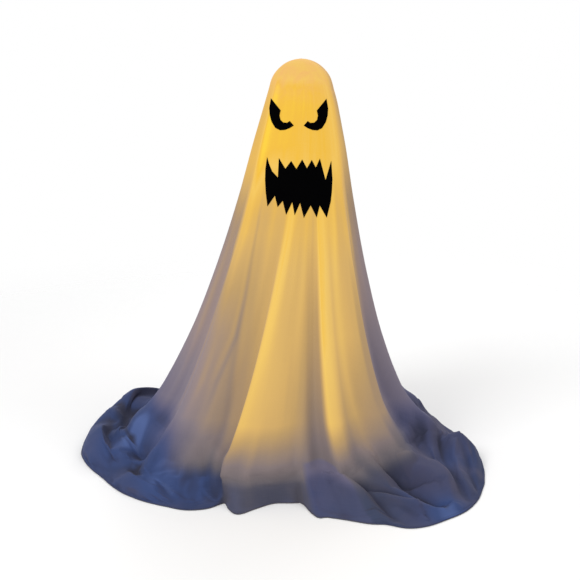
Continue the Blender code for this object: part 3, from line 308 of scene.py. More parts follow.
def read_round(table, angles):
    """Reads a closed table of (angle, value) pairs at many angles, in degrees."""
    places = np.array([row[0] for row in table], float)
    values = np.array([row[1] for row in table], float)
    places = np.concatenate([places[-2:] - 360, places, places[:2] + 360])
    values = np.concatenate([values[-2:], values, values[:2]])[:, None]
    wrapped = (np.asarray(angles) - places[2]) % 360 + places[2]
    return smooth_through(places, values, wrapped.ravel()).reshape(wrapped.shape)


def soft_noise(around, down, cells, rows, seed):
    """Smooth noise from -1 to 1. Around runs from 0 to 1 and closes, down may have any value."""
    table = np.random.RandomState(seed).uniform(-1, 1, (cells, rows))
    u, v = around * cells, down * rows
    i, j = np.floor(u).astype(int), np.floor(v).astype(int)
    fu, fv = eased(u - i), eased(v - j)
    low = mixed(table[i % cells, j % rows], table[(i + 1) % cells, j % rows], fu)
    high = mixed(table[i % cells, (j + 1) % rows], table[(i + 1) % cells, (j + 1) % rows], fu)
    return mixed(low, high, fv)


def fold_section(share, steep):
    """A fold's section from 1 on its ridge to -1 in the valley: a long side, then a steeper one."""
    long_side = np.cos(np.pi * np.minimum(share / (1 - steep), 1))
    steep_side = -np.cos(np.pi * np.maximum((share - 1 + steep) / steep, 0))
    return np.where(share < 1 - steep, long_side, steep_side)


FOLD_START_ANGLE = 24
FOLD_FULL_ANGLE = 80
CHIN_HEIGHT = 0.775
CHIN_SOFTNESS = 0.16


def face_calm(angle, height):
    """How much of the folds shows: little under the face, all of it elsewhere."""
    beside = (np.abs(signed(angle)) - FOLD_START_ANGLE) / (FOLD_FULL_ANGLE - FOLD_START_ANGLE)
    below = (CHIN_HEIGHT - height) / CHIN_SOFTNESS
    return eased(np.maximum(beside, below))


print("a fold's section from ridge to ridge:", fold_section(np.array([0, 0.4, 0.85, 1]), 0.15).round(2))

# %% [markdown]
# ## The grid of the sheet
# Columns run from the crown to the hem, closer together at the front, where the face and the finest
# folds are. Rows are closest together on the floor. Each grid point knows its fold, how far it is
# from that fold's ridge to the next one, and how far down the sheet it lies.

# %% The grid of the sheet
FRONT_COLUMNS = 44
BACK_COLUMNS = 28
FRONT_FOLDS = (10, 11, 0, 1, 2, 3)
CROWN_ROWS, SKIRT_ROWS, PILE_ROWS = 24, 96, 106
LEAST_SPREAD = 0.012

columns = []
for fold in range(len(FOLD_ANGLES)):
    count = FRONT_COLUMNS if fold in FRONT_FOLDS else BACK_COLUMNS
    columns += [(fold, step / count) for step in range(count)]
fold_number = np.array([c[0] for c in columns])
fold_share = np.array([c[1] for c in columns])
next_fold = (fold_number + 1) % len(FOLD_ANGLES)


def round_table(values):
    """A value for each column, mixed between one fold and the next."""
    values = np.array(values, float)
    return mixed(values[fold_number], values[next_fold], fold_share)


laps = 360 * ((fold_number + 1) // len(FOLD_ANGLES))
start_angles = np.array(FOLD_ANGLES, float)[fold_number]
end_angles = np.array(FOLD_ANGLES, float)[next_fold] + laps[:, None]
column_angles = mixed(start_angles, end_angles, fold_share[:, None])
head_angle, hem_angle = column_angles[:, 0], column_angles[:, 1]

foot_reach = round_table(FOOT_REACH_SHARES)
foot_height_share = round_table(FOOT_HEIGHT_SHARES)
foot_height = FOOT_HEIGHT * foot_height_share
rim_height = RIM_HEIGHT * round_table(RIM_HEIGHT_SHARES)
sweep = round_table(SWEEP_SHARES)
foot_distance = FOOT_RADIUS * (foot_reach + sweep)
hem_distance = np.maximum(read_round(HEM_LINE, hem_angle), foot_distance + LEAST_SPREAD)
spread = hem_distance - foot_distance
print("columns", len(columns), "and cloth on the floor from", *np.round([spread.min(), spread.max()], 3), "m")

# %% The rings that the sheet passes through
ring_out, ring_height, ring_drop, ring_depth = [], [], [], []
flat = np.ones(len(columns))


def add_ring(out, height, drop, depth):
    """One ring: its distance from the axis, height, share of the drop and depth of its folds."""
    ring_out.append(out * flat)
    ring_height.append(height * flat)
    ring_drop.append(drop * flat)
    ring_depth.append(depth * flat)


crown_rise = COVER_TOP - EQUATOR_HEIGHT
for angle in (-CROWN_RING_ANGLES[0], 0, *CROWN_RING_ANGLES):
    turn = math.radians(angle)
    add_ring(HEAD_RADIUS * math.sin(turn), EQUATOR_HEIGHT + crown_rise * math.cos(turn), 0, 0)
fold_depth = FOLD_DEPTH * round_table(FOLD_DEPTH_SHARES)
for drop, out, depth in SKIRT_RING_SHARES:
    reach = 1 + (foot_reach - 1) * eased(drop) + sweep * drop**SWEEP_POWER
    distance = (HEAD_RADIUS + (FOOT_RADIUS - HEAD_RADIUS) * out) * reach + SHEET_OFFSET
    height = EQUATOR_HEIGHT - drop * (EQUATOR_HEIGHT - foot_height)
    add_ring(distance, height, drop, fold_depth * depth)
# The cloth flares out onto the floor, and beyond that stands up again in a soft rim
for share in PILE_RING_SHARES:
    flare = foot_height * (1 - share) ** (FLARE_POWER / foot_height_share)
    width = RIM_INNER_WIDTH if share < RIM_PLACE else RIM_OUTER_WIDTH
    rim = rim_height * math.exp(-(((share - RIM_PLACE) / width) ** 2)) * (1 - share**RIM_EDGE_POWER)
    add_ring(foot_distance + spread * share, FLOOR_GAP + flare + rim, 1, fold_depth * (1 - share))

ring_tables = [np.array(t) for t in (ring_out, ring_height, ring_drop, ring_depth)]
middle_out, middle_height = ring_tables[0].mean(1), ring_tables[1].mean(1)
ring_places = np.concatenate([[0], np.cumsum(np.hypot(np.diff(middle_out), np.diff(middle_height)))])
head_end = 1 + len(CROWN_RING_ANGLES)
skirt_end = head_end + len(SKIRT_RING_SHARES)
rows = np.concatenate([
    np.linspace(ring_places[1], ring_places[head_end], CROWN_ROWS + 1)[1:-1],
    np.linspace(ring_places[head_end], ring_places[skirt_end], SKIRT_ROWS + 1)[:-1],
    np.linspace(ring_places[skirt_end], ring_places[-1], PILE_ROWS + 1),
])
grid_out, grid_height, grid_drop, grid_depth = (smooth_through(ring_places, t, rows) for t in ring_tables)
grid_drop = np.clip(grid_drop, 0, 1)
grid_depth = np.maximum(grid_depth, 0)
grid_angle = mixed(head_angle, hem_angle, grid_drop)
# From 0 at the foot of the skirt to 1 at the hem, and 0 above
pile_share = (rows - ring_places[skirt_end]) / (ring_places[-1] - ring_places[skirt_end])
pile_share = np.clip(pile_share, 0, 1)[:, None]

# %% [markdown]
# ## Folds, ripples and creases
# The folds are added to the main form, then fine ripples that run down the cloth, and last the
# creases of the cloth on the floor. Each crease is a line with a hollow along it and a soft roll on
# one side, placed where the real one lies.

# %% Folds and ripples
RIPPLE_HEIGHT = 0.0062
FINE_RIPPLE_HEIGHT = 0.0014
RIPPLES_START, RIPPLES_LENGTH = 1.0, 0.8
RIPPLES_UNDER_FACE = 0.06
BREAK_HEIGHT = 0.128
BREAK_RISE = 0.012
BREAK_WIDTH = 0.017
BREAK_CENTRE = -4
BREAK_REACH = 16
BREAK_DEPTH = 0.005
BREAK_BULGE = 0.006

around_grid = np.broadcast_to(((hem_angle % 360) / 360)[None, :], grid_out.shape)
down = np.broadcast_to((rows / ring_places[-1])[:, None], grid_out.shape)
steep = np.array(STEEP_SHARES)[fold_number]
swing = fold_section(fold_share, steep)[None, :] * face_calm(grid_angle, grid_height)
ripple = soft_noise(around_grid + 0.004 * down, down, 64, 4, 11)
fine_ripple = soft_noise(around_grid, down, 137, 7, 12)
ripple_growth = 0.10 + 0.90 * eased((RIPPLES_START - grid_height) / RIPPLES_LENGTH)
ripple_growth = ripple_growth * face_calm(grid_angle, grid_height - RIPPLES_UNDER_FACE)
ripples = (RIPPLE_HEIGHT * ripple + FINE_RIPPLE_HEIGHT * fine_ripple) * ripple_growth * (1 - 0.7 * pile_share)
reach_out = grid_out + grid_depth * swing + ripples
# In front, where the long panel meets the floor, it breaks in one level crease
break_height = BREAK_HEIGHT + BREAK_RISE * signed(grid_angle) / BREAK_REACH
above_break = (grid_height - break_height) / BREAK_WIDTH
break_zone = eased(1.4 - np.abs(signed(grid_angle - BREAK_CENTRE)) / BREAK_REACH)
reach_out += break_zone * (BREAK_BULGE * bell(above_break, -1.6, 1) - BREAK_DEPTH * bell(above_break, 0, 1))
# A ridge leans over its steep side, as soft cloth does
lean = LEAN_SHARE * round_table(LEAN_SHARES) * grid_depth * (1 + swing) / np.maximum(grid_out, HEAD_RADIUS)
turn = np.radians(grid_angle) - lean * (1 - pile_share)
sheet_x = reach_out * np.sin(turn) - FLOOR_LEAN * grid_drop**LEAN_POWER
sheet_y = -reach_out * np.cos(turn)
# On the floor the folds run on as low rounded ridges, where there is room for them
room = eased(spread / ROOM_WIDTH)
runner = RUNNER_HEIGHT * (0.5 + 0.5 * swing) * np.sin(np.pi * pile_share**0.7)
runner = runner * eased(pile_share / 0.15) * room
sheet_z = grid_height + runner
print("ridges on the floor up to", round(float(runner.max()), 3), "m")

# %% Creases on the floor
CREASE_TOP, CREASE_FADE = 0.15, 0.06
CREASE_WOBBLE = 0.007
BILLOW_HEIGHT = 0.007
# Depth of the hollow, its half width, height of the roll beside it, and its points (x, y), metres.
# The roll lies to the left of the line, seen along it from above.
CREASES = (
    (0.034, 0.030, 0.018, ((-0.60, 0.20), (-0.56, 0.04), (-0.535, -0.07), (-0.49, -0.165), (-0.42, -0.26),
                           (-0.345, -0.315), (-0.30, -0.35))),
    (0.016, 0.030, 0.014, ((-0.625, 0.08), (-0.590, -0.08), (-0.566, -0.26))),
    (0.030, 0.034, 0.012, ((-0.43, 0.10), (-0.50, 0.14), (-0.575, 0.17))),
    (0.024, 0.022, 0.018, ((-0.56, -0.18), (-0.47, -0.285), (-0.40, -0.33), (-0.335, -0.37), (-0.28, -0.39),
                           (-0.23, -0.37))),
    (0.020, 0.018, 0.014, ((-0.47, -0.25), (-0.43, -0.29), (-0.36, -0.30))),
    (0.012, 0.022, 0.008, ((-0.30, -0.26), (-0.26, -0.34), (-0.23, -0.40))),
    (0.028, 0.038, 0.012, ((0.30, 0.01), (0.345, -0.07), (0.376, -0.146))),
    (0.022, 0.036, 0.022, ((0.30, -0.41), (0.265, -0.32), (0.215, -0.20))),
    (0.022, 0.024, 0.016, ((0.37, -0.435), (0.33, -0.40), (0.29, -0.36))),
    (0.014, 0.022, 0.014, ((0.31, -0.34), (0.345, -0.24), (0.36, -0.165))),
    (0.016, 0.024, 0.014, ((0.46, -0.40), (0.44, -0.25), (0.43, -0.10), (0.40, 0.05))),
    (0.014, 0.018, 0.012, ((0.25, -0.50), (0.20, -0.44), (0.14, -0.38))),
    (0.022, 0.018, 0.014, ((0.225, -0.305), (0.285, -0.335), (0.345, -0.345))),
    (0.018, 0.018, 0.012, ((0.285, -0.265), (0.325, -0.205), (0.345, -0.125))),
    (0.016, 0.014, 0.014, ((0.40, -0.43), (0.30, -0.435), (0.18, -0.41), (0.09, -0.36))),
    (0.016, 0.016, 0.012, ((0.505, -0.36), (0.490, -0.25), (0.500, -0.12))),
    (0.024, 0.032, 0.014, ((0.20, 0.44), (0.24, 0.33), (0.22, 0.22))),
    (0.022, 0.030, 0.014, ((0.02, 0.50), (-0.03, 0.42), (-0.02, 0.34))),
    (0.022, 0.032, 0.014, ((-0.25, 0.48), (-0.24, 0.40), (-0.20, 0.30))),
    (0.024, 0.032, 0.014, ((-0.50, 0.36), (-0.42, 0.33), (-0.36, 0.27))),
    (0.018, 0.026, 0.014, ((0.40, 0.22), (0.34, 0.17), (0.28, 0.15))),
)


def beside_line(x, y, points):
    """The distance from a line of points, plus to its left, and how deep the crease is there."""
    nearest = np.full(x.shape, 9.0)
    side = np.zeros(x.shape)
    along_line = np.zeros(x.shape)
    lengths = [math.dist(a, b) for a, b in zip(points, points[1:])]
    before = 0.0
    for (ax, ay), (bx, by), length in zip(points, points[1:], lengths):
        dx, dy = (bx - ax) / length, (by - ay) / length
        along = np.clip((x - ax) * dx + (y - ay) * dy, 0, length)
        away_x, away_y = x - ax - along * dx, y - ay - along * dy
        distance = np.hypot(away_x, away_y)
        closer = distance < nearest
        nearest = np.where(closer, distance, nearest)
        side = np.where(closer, np.sign(dx * away_y - dy * away_x), side)
        along_line = np.where(closer, (before + along) / sum(lengths), along_line)
        before += length
    return nearest * side, np.sin(np.pi * (0.05 + 0.9 * along_line)) ** 0.5


pile_zone = eased(pile_share * 5) * eased((1 - pile_share) * 7)
crease_zone = eased((CREASE_TOP - grid_height) / CREASE_FADE) * eased((1 - pile_share) * 7)
lift = np.zeros_like(sheet_z)
for number, (depth, width, roll, points) in enumerate(CREASES):
    # A light wobble keeps the line from being straight
    wobble = CREASE_WOBBLE * soft_noise(around_grid, down, 40, 40, 50 + number)
    away, fade = beside_line(sheet_x + wobble, sheet_y - wobble, points)
    hollow = np.exp(1.5 * (0.3 - np.hypot(away / width, 0.3)))
    rise = bell(away, 1.6 * width, 1.2 * width)
    lift += (roll * rise - depth * hollow) * fade * crease_zone
billow = soft_noise(around_grid + 0.02 * np.sin(9 * down), down, 26, 30, 21)
billow += 0.4 * soft_noise(around_grid, down + 0.003 * np.sin(80 * around_grid), 58, 60, 22)
lift += BILLOW_HEIGHT * billow * room * pile_zone
sheet_z = np.maximum(sheet_z + lift, np.minimum(FLOOR_GAP, sheet_z))
pile_top = float(sheet_z[pile_share[:, 0] > 0.3].max())
print("creases", len(CREASES), "and the cloth's top on the floor", round(pile_top, 3), "m")

# %% [markdown]
# ## Settling on the floor
# Cloth on a floor wrinkles because there is more of it than there is room for. A short cloth
# simulation gives just that: the lower part is let go, told that it is a little larger than it is,
# and lands on the floor. It buckles into fine wrinkles and its rolls go slack. The hem is held where
# it lies and so is the skirt above, so the simulation adds wrinkles and doesn't move the outline.
# It works on every second point, and the fine grid follows it smoothly.

# %% Settling on the floor
LET_GO_HEIGHT = 0.36
EXTRA_CLOTH = 0.10
SETTLE_FRAMES = 14
SETTLE_GRAVITY = 0.5
# Above the first height and its fade the cloth is held, and below the second it is slack
HELD_HEIGHT, HELD_FADE = 0.11, 0.14
SLACK_HEIGHT, SLACK_FADE = 0.19, 0.09
CLOTH_SETTINGS = {
    "quality": 5,
    "mass": 0.02,
    "tension_stiffness": 12,
    "compression_stiffness": 12,
    "shear_stiffness": 6,
    "bending_stiffness": 0.6,
    "tension_damping": 5,
    "compression_damping": 5,
    "shear_damping": 5,
    "bending_damping": 0.5,
    "air_damping": 3,
    "vertex_group_mass": "held",
    "vertex_group_shrink": "slack",
    "shrink_max": -EXTRA_CLOTH,
}


def landing_floor():
    """A floor for the cloth to land on."""
    plane = bpy.data.meshes.new("landing")
    plane.from_pydata([(-2, -2, 0), (2, -2, 0), (2, 2, 0), (-2, 2, 0)], [], [(0, 1, 2, 3)])
    landing = new_object("landing", plane)
    landing.modifiers.new("collision", "COLLISION")
    landing.collision.thickness_outer = 0.001
    landing.collision.cloth_friction = 8
    return landing


def after_settling(start):
    """Lets a grid of points fall as cloth, and gives the places where they end."""
    index = np.arange(start.shape[0] * start.shape[1]).reshape(start.shape[:2])
    right = np.roll(index, -1, 1)
    quads = np.stack([index[:-1], index[1:], right[1:], right[:-1]], -1).reshape(-1, 4)
    mesh = bpy.data.meshes.new("settling")
    mesh.from_pydata(start.reshape(-1, 3).tolist(), [], quads.tolist())
    trial = new_object("settling", mesh)
    firm = np.clip((start[..., 2] - HELD_HEIGHT) / HELD_FADE, 0, 1)
    firm[0] = firm[-1] = 1
    loose = np.clip((SLACK_HEIGHT - start[..., 2]) / SLACK_FADE, 0, 1)
    for name, amounts in (("held", firm), ("slack", loose)):
        group = trial.vertex_groups.new(name=name)
        for number, amount in enumerate(amounts.ravel().tolist()):
            group.add([number], amount, "REPLACE")

    landing = landing_floor()
    cloth = trial.modifiers.new("cloth", "CLOTH")
    for key, value in CLOTH_SETTINGS.items():
        setattr(cloth.settings, key, value)
    cloth.settings.effector_weights.gravity = SETTLE_GRAVITY
    cloth.collision_settings.distance_min = 0.002
    cloth.point_cache.frame_end = SETTLE_FRAMES
    stage = bpy.context.scene
    stage.frame_start, stage.frame_end = 1, SETTLE_FRAMES
    for number in range(1, SETTLE_FRAMES + 1):
        stage.frame_set(number)
    result = trial.evaluated_get(bpy.context.evaluated_depsgraph_get()).data
    end = np.zeros(len(result.vertices) * 3, np.float32)
    result.vertices.foreach_get("co", end)
    stage.frame_set(1)
    for thing in (trial, landing):
        data = thing.data
        bpy.data.objects.remove(thing)
        bpy.data.meshes.remove(data)
    return end.reshape(start.shape)


def settled(x, y, z):
    """How far the points of the lower cloth move as it settles, and the first row that moves."""
    first = int(np.argmax(grid_height[:, 0] < LET_GO_HEIGHT))
    row_pick = np.append(np.arange(first, len(x) - 1, 2), len(x) - 1)
    column_pick = np.arange(0, x.shape[1], 2)
    start = np.stack([a[np.ix_(row_pick, column_pick)] for a in (x, y, z)], -1)
    move = after_settling(start) - start
    # The fine grid follows the moved points smoothly, first down the sheet and then round it
    fine_rows = np.arange(first, len(x))
    fine = smooth_through(row_pick, move.reshape(len(row_pick), -1), fine_rows)
    fine = fine.reshape(len(fine_rows), -1, 3).transpose(1, 0, 2).reshape(len(column_pick), -1)
    padded = np.concatenate([fine[-2:], fine, fine[:2]])
    places = np.arange(-2, len(column_pick) + 2) * 2
    fine = smooth_through(places, padded, np.arange(x.shape[1]))
    return fine.reshape(x.shape[1], len(fine_rows), 3).transpose(1, 0, 2), first


moves, first_row = settled(sheet_x, sheet_y, sheet_z)
sheet_x[first_row:] += moves[..., 0]
sheet_y[first_row:] += moves[..., 1]
sheet_z[first_row:] += moves[..., 2]
print("settled: points move", round(float(np.abs(moves).mean() * 1000), 1), "mm on average")
sheet_z = np.maximum(sheet_z, FLOOR_GAP)

# %% [markdown]
# ## From grid to mesh
# The grid becomes one mesh of quads with a fan at the crown. Its UV map is the flat cut itself: a
# half circle in metres, whose straight edge is the seam up the back. A weave drawn in that map has
# the same thread everywhere, as the real cloth does.

# %% The sheet as a mesh
def grid_mesh(name, x, y, z, top):
    """A closed-round grid of quads under one top point, with the flat cut as its UV map."""
    down_count, round_count = x.shape
    points = np.concatenate([[[0, 0, top]], np.stack([x, y, z], -1).reshape(-1, 3)])
    index = np.arange(down_count * round_count).reshape(down_count, round_count) + 1
    right = np.roll(index, -1, 1)
    fan = np.stack([np.zeros(round_count, int), index[0], right[0]], 1)
    quads = np.stack([index[:-1], index[1:], right[1:], right[:-1]], -1).reshape(-1, 4)
    mesh = bpy.data.meshes.new(name)
    mesh.vertices.add(len(points))
    mesh.vertices.foreach_set("co", points.ravel())
    corners = np.concatenate([fan.ravel(), quads.ravel()])
    starts = np.concatenate([np.arange(len(fan)) * 3, len(fan) * 3 + np.arange(len(quads)) * 4])
    mesh.loops.add(len(corners))
    mesh.loops.foreach_set("vertex_index", corners.astype(np.int32))
    mesh.polygons.add(len(starts))
    mesh.polygons.foreach_set("loop_start", starts.astype(np.int32))
    mesh.update(calc_edges=True)
    mesh.validate()
    mesh.shade_smooth()
    return mesh


# Beyond this angle of the cut, in radians, a point is beside the seam
NEAR_SEAM = 1.2


def flat_cut_map(mesh, angle, distances):
    """Lays the half-circle cut out as a UV map in metres. The seam is at the back."""
    cut_angle = np.radians(signed(angle) / 2)
    spots = np.stack([distances[:, None] * np.sin(cut_angle), distances[:, None] * np.cos(cut_angle)], -1)
    corners = np.zeros(len(mesh.loops), np.int32)
    mesh.loops.foreach_get("vertex_index", corners)
    places = np.concatenate([[[0, 0]], spots.reshape(-1, 2)])[corners]
    # A face at the seam has corners on both edges of the cut: those on the far edge change sides
    totals = np.zeros(len(mesh.polygons), np.int32)
    mesh.polygons.foreach_get("loop_total", totals)
    face = np.repeat(np.arange(len(totals)), totals)
    swung = np.concatenate([[0], cut_angle.ravel()])[corners]
    highest = np.zeros(len(totals))
    np.maximum.at(highest, face, swung)
    far = (swung < -NEAR_SEAM) & (highest[face] > NEAR_SEAM)
    places[far] = places[far] * (-1, 1)
    layer = mesh.uv_layers.new(name="flat_cut")
    layer.data.foreach_set("uv", places.astype(np.float32).ravel())


cover_mesh = grid_mesh("ghost_cloth", sheet_x, sheet_y, sheet_z, COVER_TOP)
flat_cut_map(cover_mesh, grid_angle, rows - ring_places[1])
cover = new_object("ghost_cloth", cover_mesh)
print("cloth faces", len(cover_mesh.polygons), "points", len(cover_mesh.vertices))

# %% [markdown]
# ## How the light shows through
# The lamps inside make the cloth glow: strongly round the face, less where it spreads away from
# them, and hardly at all on the floor. Each fold is brightest along its ridge and dims down its long
# side to the next crease, where the cloth lies double. That light is painted into the cloth's colour
# and emission, and stored on its points: the painted glow, how much each point faces the open sky,
# which sets its painted dusk light, and how deep it lies, which sets its painted pocket shade.

# %% Glow across the folds
# For each fold: glow on its ridge, on its long side and in its crease
GLOW_HEIGHTS = (0.05, 0.10, 0.15, 0.20, 0.42, 0.72)
FOLD_GLOW = (
    ((0.17, 0.17, 0.16), (0.29, 0.28, 0.25), (0.58, 0.48, 0.32),
     (0.80, 0.65, 0.39), (0.88, 0.72, 0.57), (0.91, 0.79, 0.76)),
    ((0.12, 0.10, 0.06), (0.26, 0.22, 0.18), (0.56, 0.43, 0.38),
     (0.82, 0.57, 0.50), (0.91, 0.76, 0.69), (0.92, 0.83, 0.76)),
    ((0.04, 0.03, 0.02), (0.14, 0.07, 0.05), (0.27, 0.17, 0.14),
     (0.47, 0.34, 0.27), (0.57, 0.44, 0.35), (0.78, 0.68, 0.52)),
    ((0.00, 0.00, 0.00), (0.06, 0.05, 0.03), (0.16, 0.14, 0.08),
     (0.28, 0.24, 0.17), (0.40, 0.35, 0.27), (0.54, 0.46, 0.36)),
    ((0.00, 0.00, 0.00), (0.08, 0.04, 0.00), (0.18, 0.12, 0.06),
     (0.30, 0.20, 0.12), (0.50, 0.38, 0.28), (0.62, 0.51, 0.40)),
    ((0.02, 0.00, 0.00), (0.10, 0.05, 0.00), (0.26, 0.18, 0.10),
     (0.42, 0.30, 0.18), (0.62, 0.49, 0.35), (0.75, 0.62, 0.48)),
    ((0.04, 0.01, 0.00), (0.12, 0.06, 0.02), (0.30, 0.22, 0.12),
     (0.50, 0.37, 0.23), (0.70, 0.57, 0.41), (0.82, 0.69, 0.54)),
    ((0.04, 0.01, 0.00), (0.12, 0.06, 0.02), (0.30, 0.20, 0.12),
     (0.48, 0.36, 0.22), (0.68, 0.55, 0.40), (0.80, 0.68, 0.53)),
    ((0.02, 0.00, 0.00), (0.08, 0.04, 0.00), (0.22, 0.15, 0.08),
     (0.38, 0.27, 0.16), (0.57, 0.45, 0.32), (0.70, 0.58, 0.45)),
    ((0.00, 0.00, 0.00), (0.02, 0.02, 0.02), (0.08, 0.08, 0.06),
     (0.20, 0.20, 0.20), (0.38, 0.36, 0.34), (0.47, 0.41, 0.33)),
    ((0.00, 0.00, 0.03), (0.02, 0.05, 0.09), (0.06, 0.09, 0.14),
     (0.19, 0.25, 0.31), (0.36, 0.41, 0.45), (0.34, 0.47, 0.64)),
    ((0.02, 0.06, 0.07), (0.04, 0.21, 0.21), (0.14, 0.26, 0.38),
     (0.28, 0.38, 0.47), (0.44, 0.49, 0.60), (0.84, 0.71, 0.73)),
)
# How much of the way to the next fold the glow takes to jump up to that fold's ridge
JUMP_SHARES = (0.075, 0.08, 0.35, 0.38, 0.30, 0.38, 0.34, 0.28, 0.39, 0.32, 0.27, 0.11)
# How far the ridge's glow reaches on the way to the next fold, and where the crease's begins
RIDGE_SHARE, CREASE_START = 0.38, 0.50
CROWN_GLOW = 0.87
FACE_GLOW = 0.945
# Angle, width and amount of single lines of light or shade at some heights
LINE_HEIGHTS = (0.78, 0.54, 0.43, 0.30, 0.18)
GLOW_LINES = (
    ((-36, -33, -33, -37, -38), 1.5, (-0.04, -0.10, -0.10, -0.07, 0.00)),
    ((-39, -36, -36, -41, -42), 1.8, (0.02, 0.04, 0.04, 0.03, 0.00)),
    ((-46, -46, -45, -45, -46), 1.8, (0.00, 0.00, 0.02, 0.08, 0.00)),
    ((-33, -31, -29, -27, -25), 2.4, (0.00, 0.02, 0.04, 0.04, 0.02)),
    ((-31, -34, -32, -30, -28), 1.6, (0.00, -0.02, -0.04, -0.05, -0.03)),
    ((41, 41, 42, 43, 46), 2.2, (0.04, 0.03, 0.03, 0.04, 0.04)),
    ((36, 36, 36, 37, 38), 2.0, (0.00, -0.02, -0.03, -0.03, -0.03)),
)
STREAK_GLOW = 0.035
# From which height the even glow of the face and of the crown take over, and over how much height
FACE_START, FACE_RISE, LEFT_DROP = 0.74, 0.24, 0.06
CROWN_START, CROWN_RISE = 1.115, 0.045
# Round the head: more on the left cheek, less at the sides, a little more at the back
CHEEK_GLOW, SIDE_DIM, BACK_GLOW = 0.11, 0.17, 0.05
# How much of its painted glow the cloth on the floor loses, and from where to where the glow ends there
PILE_DIM = 0.30
GLOW_END_START, GLOW_END = 0.44, 0.60


def glow_across(levels, share, jump_share):
    """The glow at a share of the way from one ridge to the next, from the levels of both folds."""
    ridge, side, crease, following = levels
    across = mixed(ridge, side, eased(share / RIDGE_SHARE))
    across = mixed(across, crease, eased((share - CREASE_START) / (0.42 - 0.7 * jump_share)))
    return mixed(across, following, eased((share - 1 + jump_share) / jump_share))


level_rows = []
for level in range(len(GLOW_HEIGHTS)):
    here = np.array([fold[level] for fold in FOLD_GLOW])
    levels = (*here[fold_number].T, here[next_fold, 0])
    level_rows.append(glow_across(levels, fold_share, np.array(JUMP_SHARES)[fold_number]))
flat_heights = np.clip(sheet_z, GLOW_HEIGHTS[0], GLOW_HEIGHTS[-1])
part = np.clip(np.searchsorted(GLOW_HEIGHTS, flat_heights, side="right") - 1, 0, len(GLOW_HEIGHTS) - 2)
level_rows, heights = np.array(level_rows), np.array(GLOW_HEIGHTS)
column = np.broadcast_to(np.arange(len(columns)), part.shape)
mix = (flat_heights - heights[part]) / (heights[part + 1] - heights[part])
glow = mixed(level_rows[part, column], level_rows[part + 1, column], mix)

# Painted shade along single creases and painted light along bright edges, read down the cloth
heights = np.array(LINE_HEIGHTS[::-1])
for angles, width, amount in GLOW_LINES:
    line_angle = np.interp(sheet_z, heights, np.array(angles[::-1], float))
    shown = np.interp(sheet_z, heights, np.array(amount[::-1]))
    glow += shown * bell(signed(grid_angle - line_angle), 0, width)
# Faint streaks follow the ripples, where the cloth lies closer to the lamps or further away
from_front = np.abs(signed(grid_angle))
glow += STREAK_GLOW * (ripple + 0.6 * fine_ripple) * eased(glow / 0.4)
# Round the head the lamps are close, and the cloth is bright all round, on the left further down
lower = LEFT_DROP * bell(grid_angle % 360, 272, 34)
face_share = eased((grid_height - FACE_START + lower) / FACE_RISE)
face_glow = FACE_GLOW + CHEEK_GLOW * bell(grid_angle % 360, 311, 7) - SIDE_DIM * eased((from_front - 32) / 48)
face_glow += BACK_GLOW * eased((from_front - 120) / 30)
face_glow += 0.010 * fine_ripple + 0.015 * soft_noise(around_grid, down, 23, 14, 41)
glow = mixed(glow, face_glow, face_share)
glow = mixed(glow, CROWN_GLOW + 0.01 * fine_ripple, eased((grid_height - CROWN_START) / CROWN_RISE))
# Little shines through where the cloth lies on the floor, and nothing further out
glow *= 1 - PILE_DIM * eased(pile_share * 3) * eased(1.2 - sheet_z / 0.1)
glow *= 1 - eased((foot_distance + spread * pile_share - GLOW_END_START) / (GLOW_END - GLOW_END_START))
glow = np.clip(glow, 0, 1)
print("glow from", round(float(glow.min()), 2), "to", round(float(glow.max()), 2))

# %% Sky and hollows
def normals_of(mesh):
    """The outward direction at each point of a mesh."""
    found = np.zeros(len(mesh.vertices) * 3, np.float32)
    mesh.vertex_normals.foreach_get("vector", found)
    return found.reshape(-1, 3)


def blurred(grid, times):
    """A grid of values, averaged with its neighbours a number of times."""
    for _ in range(times):
        grid = (grid + np.roll(grid, 1, 1) + np.roll(grid, -1, 1)) / 3
        padded = np.concatenate([grid[:1], grid, grid[-1:]])
        grid = (padded[:-2] + padded[1:-1] + padded[2:]) / 3
    return grid


def store(mesh, name, values):
    """Keeps one number for each point of a mesh."""
    layer = mesh.attributes.new(name, "FLOAT", "POINT")
    layer.data.foreach_set("value", values.astype(np.float32).ravel())


# Where the dusk catches the cloth, and where it lies in its own shade: x, y, reach and amount
DUSK_PATCHES = (
    (-0.500, -0.105, 0.036, 1.1), (-0.475, -0.250, 0.035, -0.3), (0.404, -0.468, 0.060, 0.8),
    (-0.400, -0.350, 0.060, 0.4), (-0.560, -0.120, 0.060, 0.3), (0.440, -0.200, 0.060, 0.3),
    (-0.539, 0.137, 0.045, -0.5), (-0.330, -0.345, 0.030, -0.2), (0.380, -0.110, 0.045, -0.3),
    (0.300, -0.400, 0.040, 0.3), (-0.520, -0.250, 0.040, -0.1), (0.110, -0.480, 0.025, -0.7),
)
SKY_DIRECTION = (-0.42, -0.30, 0.86)
SKY_AMOUNT = 0.7
# How much of the sky is kept off on the right, where that begins, and over which width
RIGHT_SHADE, RIGHT_START, RIGHT_WIDTH = 0.55, 0.10, 0.25
# A point this deep under the smoothed surface lies in a dark pocket of painted shade
POCKET_DEPTH = 0.010
BLUR_TIMES = 9
# The strip beside the second front fold lies open to the sky
STRIP_START, STRIP_END, STRIP_HEIGHT = 0.66, 0.985, 0.105
# Where the painted blue of the dusk begins beside the front on the left and on the right, and over how many
# degrees
COOL_LEFT, COOL_RIGHT = (30, 22), (54, 18)

